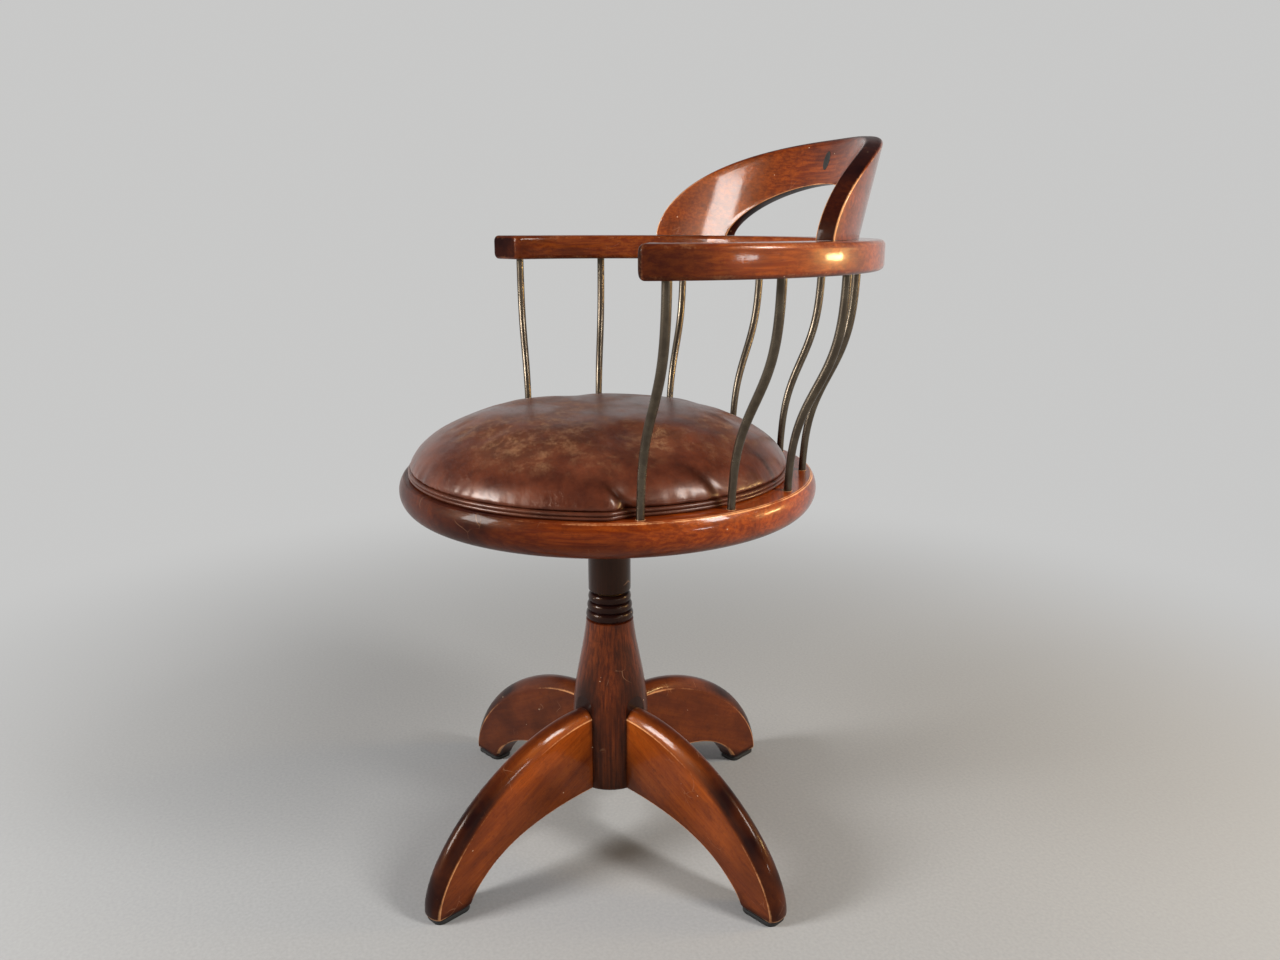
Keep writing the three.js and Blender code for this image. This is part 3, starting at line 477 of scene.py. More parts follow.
def varnished_mahogany(name, dark, middle, light, bare=0.35, streaky=1.0, rub_more=None):
    """Stained and varnished mahogany. The three colours run from the dark figure to the light, and
    bare is how much of the varnish's shine is lost where the stain and painted shade lie darkest.
    The shade attribute darkens the colour, partly as painted shade, and the pale rubbed edges
    also stand in for edge highlights."""
    paint, tree, place = new_paint(name)
    dark, middle, light = (*dark, 1), (*middle, 1), (*light, 1)
    kept_on = {}
    for label in ("grain", "arris", "shade"):
        kept_on[label] = add_node(tree, "Attribute", attribute_name=label).outputs
    figure = {"Grain": kept_on["grain"]["Vector"]}
    figure = add_node(tree, "Group", figure, node_tree=grain_group).outputs
    wear = {"Place": place, "Arris": kept_on["arris"]["Fac"]}
    wear = add_node(tree, "Group", wear, node_tree=wear_group).outputs
    colour = blend(times_plus(figure["Figure"], 0.75, 0.25), dark, middle)
    lit = times_plus(figure["Streaks"], streaky, 0.45 * (1 - streaky))
    lit = times(lit, times_plus(figure["Figure"], 0.55, 0.2))
    colour = blend(lit, colour, light)
    mottle = speckle(place, 150, 4, 0.65)
    colour = blend(fade(mottle, 0.50, 0.72, 0, 0.4), colour, dark)
    colour = blend(times(figure["Pores"], 0.5), colour, dark)
    patchy = times_plus(speckle(place, 19, 3), 0.7, 0.62)
    # Painted shade and dark stain: the colour goes toward near black where the shade attribute is high.
    shade = times(kept_on["shade"]["Fac"], patchy, use_clamp=True)
    colour = blend(shade, colour, (0.011, 0.003, 0.003, 1))
    # The pale of the rubbed edges, which also stands in for their highlights, fades where the shade lies.
    rubbed = times(wear["Rubbed"], times_plus(shade, -0.55, 0.90))
    if rub_more:
        rubbed = calculate("MAXIMUM", rubbed, rub_more(tree, place))
    colour = blend(rubbed, colour, (0.80, 0.38, 0.16, 1))
    colour = blend(times(wear["Scratches"], 0.35), colour, (0.50, 0.26, 0.14, 1))
    colour = blend(wear["Nicks"], colour, (0.60, 0.42, 0.27, 1))
    height = times_plus(wear["Nicks"], -1.6, figure["Height"])
    height = times_plus(wear["Scratches"], -0.3, height)
    bump = emboss(height, 0.22, 0.0005)
    dull = times_plus(rubbed, 0.15, times_plus(figure["Figure"], -0.08, 0.42))
    varnish = times_plus(wear["Nicks"], -0.7, times_plus(rubbed, -0.25, 0.88))
    kept = times_plus(shade, -bare, 1.0)
    values = {"Base Color": colour, "Roughness": dull, "Normal": bump, "Coat Normal": bump}
    values["Specular IOR Level"] = times(kept, 0.24)
    values["Specular Tint"] = (1.0, 0.45, 0.15, 1)
    values["Coat Weight"] = times(kept, varnish, use_clamp=True)
    values["Coat Roughness"] = 0.08
    values["Coat IOR"] = 1.29
    set_surface(tree, values)
    return paint


mahogany_column = varnished_mahogany(
    "mahogany_column", (0.012, 0.002, 0.001), (0.062, 0.008, 0.002), (0.21, 0.040, 0.006)
)
# Dark mahogany for the collar, darkened partly as painted shade under the seat, and painted shade for the
# pocket faces.
mahogany_dark = varnished_mahogany(
    "mahogany_dark", (0.006, 0.002, 0.001), (0.017, 0.004, 0.002), (0.038, 0.009, 0.004)
)
finish_piece(column, "base", "column", mahogany_column)
column.data.materials.append(mahogany_dark)
# The flat faces of the leg pockets take the dark finish as painted shade in the gaps above the legs.
for face in column.data.polygons:
    reach = (face.center - swivel).dot(face.normal)
    off_pocket = min(abs(reach - flat_radius), abs(reach + pocket_half))
    if abs(face.normal.z) < 0.001 and off_pocket < 0.0002:
        face.material_index = 1


# Legs. Four alike, each sawn to an arch from a plank whose grain runs down the leg, crowned on
# top and left flat at the sides. The line between the two is rubbed pale by feet, and the pale
# also stands in for its highlight. Painted shade lies under the arch and low on the sides.
def draw_out(name, rings, ends=True):
    """Draws a closed section out through a row of equal rings of points."""
    piece = start_outline(name, rings[0])
    shape = bmesh.from_edit_mesh(piece.data)
    order = shape.verts.layers.int.new("order")
    for number, point in enumerate(shape.verts):
        point[order] = number
    bmesh.update_edit_mesh(piece.data)
    for ring in rings[1:]:
        bpy.ops.mesh.extrude_region_move()
        shape = bmesh.from_edit_mesh(piece.data)
        order = shape.verts.layers.int["order"]
        for point in shape.verts:
            if point.select:
                point.co = ring[point[order]]
        bmesh.update_edit_mesh(piece.data)
    if ends:
        bpy.ops.mesh.select_all(action="DESELECT")
        bpy.ops.mesh.select_mode(type="EDGE")
        bpy.ops.mesh.select_non_manifold()
        bpy.ops.mesh.fill_holes(sides=0)
        bpy.ops.mesh.select_mode(type="VERT")
    close_up(piece)
    piece.data.attributes.remove(piece.data.attributes["order"])
    return piece


leg_underside = 0.0053
leg_reach = 0.259
leg_root = flat_radius + 0.0003
leg_top = 0.1598
heel_reach = 0.2170
upper_curve = [(leg_root, leg_top), (0.1400, leg_top), (leg_reach, 0.0682), (leg_reach, leg_underside)]
lower_curve = [(leg_root, column_bottom), (0.1299, column_bottom)]
lower_curve += [(0.1960, 0.0523), (heel_reach, leg_underside)]


def leg_section(share, tuck=0.0):
    top = curve_point(upper_curve, share)
    bottom = curve_point(lower_curve, share)
    tall = (top - bottom).length
    out = (top - bottom) / tall
    bottom += out * tuck
    tall -= 2 * tuck
    crown = 0.010 - 0.0045 * share + 0.007 * sin(pi * share)
    half = leg_thickness / 2 - tuck
    heel = 0.002 + 0.004 * ease(share, 0.75, 1.0)
    outline = eased_corner(half, 0, heel)
    outline += [(half, heel + (tall - heel - 0.0015) * part) for part in (0.1, 0.3, 0.5, 0.7, 0.9)]
    outline += [(half, tall - 0.0010), (half * 0.994, tall + 0.0002)]
    for step in range(1, 12):
        side = 0.965 * cos(pi * step / 12)
        outline.append((half * side, tall + 0.0006 + (crown - 0.0006) * (1 - abs(side) ** 2.6)))
    outline += [(-side, lift) for side, lift in reversed(outline[:11])]
    spots = [(side, bottom + out * lift) for side, lift in outline]
    return [Vector((spot.x, side, spot.y)) for side, spot in spots]


stations = [0, 0.004, 0.02] + [0.05 + 0.9 * step / 44 for step in range(45)] + [0.965, 0.976]
sections = [leg_section(share) for share in stations]
tuck = 0.0026
for step in range(7):
    turn = pi / 2 * step / 6
    share = 1 - tuck * (1 - sin(turn)) / 0.165
    sections.append(leg_section(share, tuck * (1 - cos(turn))))
leg = draw_out("arched_leg_1", sections)
smooth(leg, 22)
mark_arrises(leg, 85, 185, 0.18)
for point, worn in zip(leg.data.vertices, leg.data.attributes["arris"].data):
    if point.co.z < leg_underside + 0.006 and point.co.x < leg_reach - 0.008:
        worn.value *= 0.25


def leg_stain_and_shade(place, facing):
    # Painted shade darkens the underside of the arch and the lower part of each side. The crown darkens
    # down the leg and along its middle, the foot and heel darken near the floor, and the joint at the
    # root is dark.
    along = (place.x - leg_root) / (leg_reach - leg_root)
    aside = abs(place.y) / (leg_thickness / 2)
    flat = Vector((place.x, place.z))
    below = min((curve_point(upper_curve, step / 40) - flat).length for step in range(41))
    crown = 0.98 * ease(along, 0.28, 0.70) * ease(facing.x + facing.z, 0.10, 0.65)
    spine = 0.78 * ease(aside, 0.95, 0.25) * ease(facing.x + facing.z, 0.10, 0.50)
    side = 0.60 * ease(below, 0.006, 0.065) * ease(aside, 0.97, 0.995)
    foot = max(0.56 * ease(along, 0.50, 1.0), 0.97 * ease(place.z, 0.022, 0.007))
    heel = (place.x - 0.214) ** 2 + (place.z - 0.008) ** 2
    foot = max(foot, 0.95 * exp(-heel / 0.023**2))
    joint = 0.6 * ease(place.x, leg_root + 0.006, leg_root)
    arch = 0.5 * ease(-facing.z, 0.2, 0.8)
    return max(crown, spine, side, foot, joint, arch)


lay_stain_and_shade(leg, leg_stain_and_shade)
chord = atan2(0.115 - 0.020, 0.235 - leg_root)
lay_grain(leg, lambda place: Matrix.Rotation(-chord, 3, "Y") @ place)
mahogany_legs = varnished_mahogany(
    "mahogany_legs", (0.080, 0.012, 0.003), (0.250, 0.041, 0.004), (0.42, 0.100, 0.009), 0.6, 0.45
)


def set_round(piece, node, paint):
    """Copies what is made for the first leg to the other three, and turns all four into place."""
    copies = [piece]
    for number in (2, 3, 4):
        copy = bpy.data.objects.new(f"{piece.name[:-1]}{number}", piece.data.copy())
        scene.collection.objects.link(copy)
        copies.append(copy)
    for number, copy in enumerate(copies, 1):
        copy.data.transform(quarter_turns[number - 1])
        finish_piece(copy, "base", f"{node}_{number}", paint)
    return copies


# Each leg is from another plank, so its grain is shifted, and the two behind are darker with painted
# shade.
legs = set_round(leg, "leg", mahogany_legs)
for number, painted_shade_least in ((1, 0.62), (2, 0.74), (3, 0.0)):
    kept_on = legs[number].data.attributes
    for place, stain in zip(kept_on["grain"].data, kept_on["shade"].data):
        place.vector = place.vector + Vector((0.31, 0.17, 0.05)) * number
        stain.value = max(stain.value, painted_shade_least)


# Foot pads. Four black rubber pads, one under each foot, cut as a rounded plate and glued on.
pad_length = 0.0447
pad_reach = leg_reach - 0.042
pad = start_piece("foot_pad_dark_1", bpy.ops.mesh.primitive_plane_add, size=1)
bpy.ops.transform.resize(value=(pad_length, leg_thickness, 1))
bpy.ops.transform.translate(value=(pad_reach + pad_length / 2, 0, 0))
bpy.ops.mesh.bevel(offset=0.010, segments=12, affect="VERTICES")
bpy.ops.mesh.extrude_region_move(TRANSFORM_OT_translate={"value": (0, 0, 0.005)})
close_up(pad)
round_over(pad, 0.0012, 4, 60)
smooth(pad, 40)

tarnish_group, taken = new_group("surface_tarnish", Place="Vector", Size="Float")
sized = {0: taken["Place"], "Scale": taken["Size"]}
sized = add_node(tarnish_group, "VectorMath", sized, operation="SCALE").outputs[0]
patches = speckle(sized, 1, 5, 0.6)
specks = speckle(sized, 9, 3)
give_out(
    tarnish_group,
    Patches=fade(patches, 0.35, 0.65),
    Specks=fade(specks, 0.55, 0.72),
    Height=times_plus(specks, 0.5, patches),
)


def plain_finish(name, clean, stained, metallic, polish, spread, size, relief, stretch=(1, 1, 1)):
    """A metal, rubber or raw wood whose colour and polish drift in patches and specks."""
    paint, tree, place = new_paint(name)
    place = add_node(tree, "Mapping", {"Vector": place, "Scale": stretch}).outputs[0]
    film = {"Place": place, "Size": size}
    film = add_node(tree, "Group", film, node_tree=tarnish_group).outputs
    colour = blend(film["Patches"], (*clean, 1), (*stained, 1))
    colour = blend(times(film["Specks"], 0.5), colour, (*stained, 1))
    rough = times_plus(film["Patches"], spread, polish)
    values = {"Base Color": colour, "Metallic": metallic, "Roughness": rough}
    values["Normal"] = emboss(film["Height"], 0.3, relief)
    set_surface(tree, values)
    return paint


pad_rubber = plain_finish(
    "pad_rubber", (0.006, 0.006, 0.006), (0.016, 0.015, 0.014), 0.0, 0.72, 0.15, 240, 0.0004
)
set_round(pad, "foot_pad", pad_rubber)


# Works of the swivel. The steel stem turns in two bronze bushes on a bronze thrust washer, and
# its washer and nut keep it down. Two beech dowels hold each leg. The frame's own solids are
# the right shapes and stay, each with the finish of its metal or wood.
def paint_nodes(paint, *nodes):
    for node in nodes:
        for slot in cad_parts[node].material_slots:
            slot.material = paint


def numbered(name, count):
    return [f"{name}_{number + 1}" for number in range(count)]


bright_steel = plain_finish(
    "bright_steel", (0.48, 0.48, 0.47), (0.26, 0.25, 0.24), 1.0, 0.24, 0.18, 160, 0.0001
)
bush_bronze = plain_finish(
    "bush_bronze", (0.46, 0.27, 0.11), (0.20, 0.12, 0.06), 1.0, 0.30, 0.2, 150, 0.0001
)
dowel_beech = plain_finish(
    "dowel_beech", (0.58, 0.38, 0.21), (0.44, 0.26, 0.13), 0.0, 0.62, 0.15, 130, 0.0003
)
paint_nodes(bright_steel, "stem", "stem_washer", "stem_nut")
paint_nodes(bush_bronze, "upper_bush", "lower_bush", "thrust_washer")
for level in ("lower", "upper"):
    paint_nodes(dowel_beech, *(f"{name}_{level}" for name in numbered("leg_dowel", 4)))


# Bottom cover. A round plate of black-painted iron over the nut's recess, held up under the
# column by three slotted brass screws.
black_iron = plain_finish(
    "black_iron", (0.020, 0.020, 0.022), (0.050, 0.036, 0.028), 0.35, 0.46, 0.22, 110, 0.0004
)
screw_brass = plain_finish(
    "screw_brass", (0.60, 0.42, 0.16), (0.26, 0.17, 0.07), 1.0, 0.26, 0.2, 420, 0.0001
)
paint_nodes(black_iron, "bottom_cover")
paint_nodes(screw_brass, *numbered("cover_screw", 3))


# Collar. A plain turned mahogany sleeve round the stem under the seat, stained nearly black, the
# dark partly painted shade from the seat above, and its varnish dulled all over.
collar_low, collar_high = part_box("collar")
collar_radius = 0.0246
collar_bore = 0.0133
collar_tall = collar_high.z - collar_low.z
collar_profile = [(collar_bore, collar_low.z)] + eased_corner(collar_radius, collar_low.z, 0.0015)
collar_profile += [(collar_radius, collar_low.z + collar_tall * step / 8) for step in range(1, 9)]
collar_profile.append((collar_bore, collar_high.z))
collar = turn_on_lathe("turned_collar", collar_profile, swivel, 96)
smooth(collar, 32)
lay_grain(collar, upright_plank, (0.4, 0.05, 0.11))
lay_stain_and_shade(collar, lambda place, facing: 0.5)
finish_piece(collar, "seat", "collar", mahogany_dark)


# Seat plate. A square plate of black iron that the stem's tenon is riveted into, screwed up
# into the seat board at its corners with steel wood screws.
paint_nodes(black_iron, "seat_plate")
paint_nodes(bright_steel, *numbered("plate_screw", 4))


# Seat ring. Four lengths of mahogany joined into a ring, turned flat on top with a crisp arris
# and a full rounded nose outside, and rebated inside for the board. The arris is rubbed pale,
# which also stands in for its highlight, and the varnish is broken in a small rim round the foot
# of each spindle. Painted shade lies under the ring, and it is darker toward the front and a
# little toward the back.
ring_low, ring_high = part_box("seat_ring")
ring_radius = 0.231
ring_nose = 0.0236
ring_bore = 0.165
ring_rebate = 0.185
board_level = 0.43405
nose_centre = ring_low.z + ring_nose
arris_turn = asin((ring_high.z - nose_centre) / ring_nose)
arris_radius = ring_radius - ring_nose * (1 - cos(arris_turn))
ring_profile = [(ring_bore, ring_low.z), (0.175, ring_low.z), (0.19, ring_low.z)]
for step in range(25):
    turn = -pi / 2 + (arris_turn - 0.045 + pi / 2) * step / 24
    nose_reach = ring_radius - ring_nose * (1 - cos(turn))
    ring_profile.append((nose_reach, nose_centre + ring_nose * sin(turn)))
for inward, below in ((0.0001, 0.0005), (0.0007, 0.0001)):
    ring_profile.append((arris_radius - inward, ring_high.z - below))
ring_profile += [(arris_radius - step, ring_high.z) for step in (0.0015, 0.0024, 0.006)]
ring_profile += [(reach, ring_high.z) for reach in (0.2090, 0.1990, ring_rebate)]
ring_profile += [(ring_rebate, board_level), (ring_bore, board_level)]
ring = turn_on_lathe("turned_seat_ring", ring_profile, swivel, 240)
smooth(ring, 30)
mark_arrises(ring, 60, 300, 0.1)


def ring_stain_and_shade(place, facing):
    # Painted shade under the ring; the ring is also darker toward the front and a little toward the back.
    below = 0.6 * ease(-facing.z, 0.3, 0.9)
    front = 0.84 * ease(-(place.y - swivel.y), 0.0, 0.19)
    back = 0.35 * ease(place.y - swivel.y, 0.13, 0.22)
    return max(below, front, back)


lay_stain_and_shade(ring, ring_stain_and_shade)
# The pale arris, which also stands in for its highlight, fades toward the darker front.
for point, worn in zip(ring.data.vertices, ring.data.attributes["arris"].data):
    worn.value *= 1 - 0.7 * ease(-(point.co.y - swivel.y), 0.0, 0.19)


def ring_plank(place):
    first_joint = 0.35
    flat = off_axis(place)
    turn = atan2(flat.x, flat.y)
    length = floor((turn + first_joint) / (pi / 2))
    middle = (length + 0.5) * pi / 2 - first_joint
    along = Vector((cos(middle), -sin(middle)))
    across = Vector((sin(middle), cos(middle)))
    bend = (turn - middle) * ring_radius
    down = (flat.dot(along) + bend) / 2 + 0.7 * length
    return Vector((down, flat.dot(across) + 0.23 * length, place.z))


lay_grain(ring, ring_plank)
spindle_pitch = radians(25.1)
spindle_circle = 0.2158


def flat_length(x, y):
    return length_of(add_node(x.id_data, "CombineXYZ", {"X": x, "Y": y}).outputs[0])


def spindle_rims(tree, place):
    """Marks a small broken rim of bare wood round the foot of the nearest spindle."""
    parts = add_node(tree, "SeparateXYZ", {"Vector": place}).outputs
    back = calculate("SUBTRACT", parts["Y"], swivel.y)
    turn = calculate("ARCTAN2", parts["X"], back)
    near = calculate("ROUND", calculate("DIVIDE", turn, spindle_pitch))
    near = calculate("MAXIMUM", calculate("MINIMUM", near, 4.0), -4.0)
    round_it = times(times_plus(near, -spindle_pitch, turn), spindle_circle)
    out = calculate("SUBTRACT", flat_length(parts["X"], back), spindle_circle)
    distance = flat_length(round_it, out)
    distance = times_plus(speckle(place, 900, 2), 0.0016, distance)
    rim = fade(distance, 0.0052, 0.0060, 0.9, 0.0)
    on_top = fade(parts["Z"], ring_high.z - 0.001, ring_high.z - 0.0003)
    return times(rim, on_top)


ring_colours = ((0.065, 0.007, 0.002), (0.230, 0.028, 0.002), (0.44, 0.082, 0.005))
mahogany_ring = varnished_mahogany("mahogany_ring", *ring_colours, 0.70, rub_more=spindle_rims)
finish_piece(ring, "seat", "seat_ring", mahogany_ring)


# Seat board. A round of beech let into the ring's rebate under the cushion. It is planed but
# left raw, and its grain runs from side to side.
board_beech = plain_finish(
    "board_beech", (0.50, 0.33, 0.18), (0.34, 0.20, 0.10), 0.0, 0.66, 0.15, 90, 0.0004, (0.09, 1, 1)
)
paint_nodes(board_beech, "seat_board")


# Cushion. Brown leather drawn over a domed foam pad and pulled in to the welt at its foot. At
# the back it lies inside the spindles, and in front of them it steps out to the ring's arris.
# Years of sitting have rubbed the top matt and tan, and the sides still shine.
cushion_low, cushion_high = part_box("cushion")
cushion_forward = 0.008
front_spindle = 4 * spindle_pitch
foot_radius = 0.004
front_foot = Vector((sin(front_spindle), cos(front_spindle))) * spindle_circle
back_radius = (front_foot + Vector((0, cushion_forward))).length - foot_radius - 0.0015
step_start = front_spindle + 1.5 * foot_radius / spindle_circle
step_end = step_start + 0.026 / spindle_circle


def plan_radius(angle):
    across = cushion_forward * sin(angle)
    inside = sqrt(back_radius**2 - across**2) - cushion_forward * cos(angle)
    outside = arris_radius - 0.0034
    return inside + (outside - inside) * ease(abs(angle), step_start, step_end)


def plan_point(angle, inward, height):
    reach = plan_radius(angle) - inward
    return Vector((swivel.x + reach * sin(angle), swivel.y + reach * cos(angle), height))


def plan_angles(back, step, front):
    stops = [0, step_start, step_end, 2 * pi - step_end, 2 * pi - step_start, 2 * pi]
    angles = []
    for place, count in enumerate((back, step, front, step, back)):
        for part in range(count):
            angle = stops[place] + (stops[place + 1] - stops[place]) * part / count
            angles.append(angle if angle <= pi else angle - 2 * pi)
    return angles


def cushion_ring(inward, height, share=1.0):
    middle = Vector((swivel.x, swivel.y - cushion_forward, height))
    angles = plan_angles(30, 10, 36)
    return [middle.lerp(plan_point(angle, inward, height), share) for angle in angles]


seam_height = cushion_low.z + 0.0081
dome_height = cushion_high.z - seam_height
tucked_in = 0.0120
levels = [cushion_ring(tucked_in, height) for height in (cushion_low.z + 0.0005, seam_height - 0.001)]
for step in range(26):
    turn = pi / 2 * step / 26
    rise = dome_height * sin(turn) ** (2 / 1.77)
    draw_in = 0.0034 * exp(-rise / 0.005)
    share = cos(turn) ** (2 / 3.3)
    levels.append(cushion_ring(draw_in + 0.0012, seam_height + rise * 0.985, share))
cushion = draw_out("leather_cushion", levels)
pick(cushion)
cushion.data.remesh_voxel_size = 0.0042
cushion.data.use_remesh_fix_poles = False
bpy.ops.object.voxel_remesh()
seam_group = "held_at_the_seam"
held = cushion.vertex_groups.new(name=seam_group)
for point in cushion.data.vertices:
    if point.co.z < seam_height + 0.0025:
        held.add([point.index], 1.0, "REPLACE")
started = [point.co.copy() for point in cushion.data.vertices]
stuffing = cushion.modifiers.new("stuffing", "CLOTH")
feel = {"quality": 6, "mass": 0.3, "tension_stiffness": 40, "compression_stiffness": 40}
feel.update(shear_stiffness=12, bending_stiffness=8, use_pressure=True)
feel.update(uniform_pressure_force=4, shrink_min=0.010, vertex_group_mass=seam_group)
set_all(stuffing.settings, feel)
stuffing.settings.effector_weights.gravity = 0
for moment in range(1, 21):
    scene.frame_set(moment)
bpy.ops.object.modifier_apply(modifier=stuffing.name)
scene.frame_set(1)
most = 0.003
for point, start in zip(cushion.data.vertices, started):
    moved = point.co - start
    if moved.length > most:
        point.co = start + moved * (most / moved.length)
outside_seam = {"vertex_group": seam_group, "invert_vertex_group": True}
modify(cushion, "settled", "SMOOTH", factor=0.5, iterations=10, **outside_seam)
modify(cushion, "fullness", "SUBSURF", levels=1, render_levels=1)

# The leather is gathered a little all round the seam. It is pinched beside each front spindle, and
# less so beside the next one.
pinches = ((step_start + 0.030, 0.0042, 0.0048), (3 * spindle_pitch, 0.0018, 0.006))
for point in cushion.data.vertices:
    flat = off_axis(point.co)
    angle = atan2(flat.x, flat.y)
    rise = max(0.0, point.co.z - seam_height)
    if rise > 0 and flat.length > 0.12:
        pucker = noise.noise(Vector((sin(angle) * 17, cos(angle) * 17, rise * 25)))
        pull = 0.0011 * pucker * exp(-rise / 0.012) * min(1.0, rise / 0.002)
        leaning = abs(angle) * spindle_circle - 0.7 * rise
        for turn, depth, breadth in pinches:
            fold = (leaning - turn * spindle_circle) / breadth
            pull -= depth * exp(-(fold**2)) * exp(-rise / 0.020)
        point.co.x += flat.x / flat.length * pull
        point.co.y += flat.y / flat.length * pull
smooth(cushion, 70)


def worn_leather(name, dark, middle, pale, wear_top):
    """Brown leather: pebbled grain, creases, tan scuffs and a waxed shine."""
    paint, tree, place = new_paint(name)
    dark, middle, pale = (*dark, 1), (*middle, 1), (*pale, 1)

    def hairlines(value, width):
        off_line = calculate("ABSOLUTE", calculate("SUBTRACT", value, 0.5))
        return fade(off_line, 0.0, width, 1.0, 0.0)

    mottle = speckle(place, 34, 7, 0.68)
    colour = blend(fade(mottle, 0.22, 0.78), dark, middle)
    pebbles = fade(cell_edges(place, 620), 0.0, 0.35)
    creases = hairlines(stretched_noise(place, (60, 210, 120), 4, 0.65, 1.2), 0.035)
    height = add_node(tree, "SeparateXYZ", {"Vector": place}).outputs["Z"]
    top = times(fade(height, seam_height + 0.022, seam_height + 0.044), wear_top)
    rubbed = times(fade(speckle(place, 10, 5, 0.6), 0.40, 0.62), top)
    bent = {0: place, 1: stretched_noise(place, (140, 140, 140), 3, 0.7), 2: (0.004,) * 3}
    bent = add_node(tree, "VectorMath", bent, operation="MULTIPLY_ADD").outputs[0]
    patches = stretched_noise(place, (70, 70, 70), 5, 0.75)
    cracks = fade(cell_edges(bent, 260), 0.0, 0.13, 1.0, 0.0)
    cracks = times(cracks, fade(patches, 0.44, 0.58))
    scuffs = hairlines(stretched_noise(place, (300, 110, 140), 5, 0.75, 2.5), 0.020)
    scuffs = times(scuffs, fade(patches, 0.52, 0.62))
    scuffs = times(scuffs, times_plus(rubbed, 0.9, 0.05 * wear_top))
    colour = blend(times(rubbed, 0.10), colour, pale)
    colour = blend(times(cracks, times(rubbed, 0.60)), colour, pale)
    colour = blend(times(creases, 0.25), colour, dark)
    colour = blend(scuffs, colour, (0.50, 0.29, 0.14, 1))
    relief = times_plus(creases, -0.8, times(pebbles, 0.35))
    relief = times_plus(mottle, 0.8, relief)
    relief = times_plus(times(cracks, rubbed), -0.8, relief)
    dull = times_plus(rubbed, 0.16, times_plus(mottle, 0.10, 0.26))
    values = {"Base Color": colour, "Roughness": times_plus(scuffs, 0.2, dull)}
    values["Normal"] = emboss(relief, 0.28, 0.0004)
    values["Specular IOR Level"] = 0.25
    values["Specular Tint"] = (1.0, 0.6, 0.4, 1)
    values["Coat Weight"] = times_plus(rubbed, -0.35, 0.55)
    values["Coat Roughness"] = 0.25
    values["Coat IOR"] = 1.36
    set_surface(tree, values)
    return paint


cushion_leather = worn_leather(
    "cushion_leather", (0.040, 0.008, 0.004), (0.125, 0.030, 0.012), (0.36, 0.17, 0.080), 1.0
)
finish_piece(cushion, "seat", "cushion", cushion_leather)


# Double welt. Two leather-covered cords sewn one over the other on a strip that is tacked to the
# board, all round the foot of the cushion.
def welt_ring(angle):
    cord_radius = 0.00195
    section = [(0.0096, 0.0)]
    for level in (1, 3):
        for step in range(9):
            turn = pi * (step / 8 - 0.5)
            inward = 0.0016 + cord_radius * (1 - cos(turn))
            section.append((inward, cord_radius * (level + sin(turn))))
    section.append((0.0096, 4 * cord_radius))
    return [plan_point(angle, inward, cushion_low.z + lift) for inward, lift in section]


welt_rings = [welt_ring(angle) for angle in plan_angles(70, 16, 84)]
welt = draw_out("double_welt", welt_rings + welt_rings[:1], ends=False)
smooth(welt, 60)
welt_leather = worn_leather(
    "welt_leather", (0.040, 0.011, 0.006), (0.110, 0.030, 0.014), (0.22, 0.10, 0.05), 0.0
)
finish_piece(welt, "seat", "welt", welt_leather)


# Spindles. Nine round rods of aged bronze, bent to a soft S so that they cross from the ring out
# to the bow, let into both. Handling keeps their faces bright between the dark tarnish.
spindle_length = 0.2198
bow_underside = ring_high.z + spindle_length
bow_half_span = 0.266
bow_half_depth = 0.2507
bow_centre = Vector((swivel.x, swivel.y + 0.0117, 0))


def bow_point(angle, offset, height):
    across, back = sin(angle), cos(angle)
    out = Vector((across / bow_half_span, back / bow_half_depth, 0)).normalized()
    spot = bow_centre + Vector((bow_half_span * across, bow_half_depth * back, 0))
    return spot + out * offset + Vector((0, 0, height))


def bend_share(height):
    soft = spindle_length * 0.235
    middle = ring_high.z + spindle_length * 0.486
    low = tanh((ring_high.z - middle) / soft)
    high = tanh((bow_underside - middle) / soft)
    return (tanh((height - middle) / soft) - low) / (high - low)


spindle_bronze = plain_finish(
    "spindle_bronze", (0.115, 0.090, 0.062), (0.075, 0.057, 0.040), 0.85, 0.26, 0.08, 60, 0.0001
)
for number in range(9):
    angle = spindle_pitch * (number - 4)
    foot = swivel + Vector((sin(angle), cos(angle), 0)) * spindle_circle
    lean = bow_point(angle, 0, 0) - foot
    across = Vector((lean.y, -lean.x, 0)).normalized()
    heights = [ring_high.z - 0.019] + [ring_high.z + spindle_length * step / 48 for step in range(49)]
    rings = []
    for height in heights + [bow_underside + 0.014]:
        centre = foot + lean * bend_share(height) + Vector((0, 0, height))
        above = foot + lean * bend_share(height + 0.002) + Vector((0, 0, height + 0.002))
        other = (above - centre).normalized().cross(across)
        radius = 0.004 + 0.00065 * ease(height - ring_high.z, 0, 0.6 * spindle_length)
        turns = [2 * pi * step / 18 for step in range(18)]
        rings.append(
            [centre + across * radius * cos(turn) + other * radius * sin(turn) for turn in turns]
        )
    spindle = draw_out(f"bronze_spindle_{number + 1}", rings)
    smooth(spindle, 50)
    finish_piece(spindle, "seat", f"spindle_{number + 1}", spindle_bronze)


# Arms and back rail. The bow is sawn from three planks of mahogany, wide and flat with rounded
# edges, and joined with a dowel under each foot of the crest. The arms end in slanted tips.
bow_width = 0.0485
bow_thickness = 0.0296
bow_edge = 0.0055
bow_top = bow_underside + bow_thickness
joint_angle = radians(40)
arm_end = radians(105.3)
tip_corner = 0.007
tip_lead = 0.2


def along_bow(angle, distance):
    pace = hypot(bow_half_span * cos(angle), bow_half_depth * sin(angle))
    return angle + distance / pace


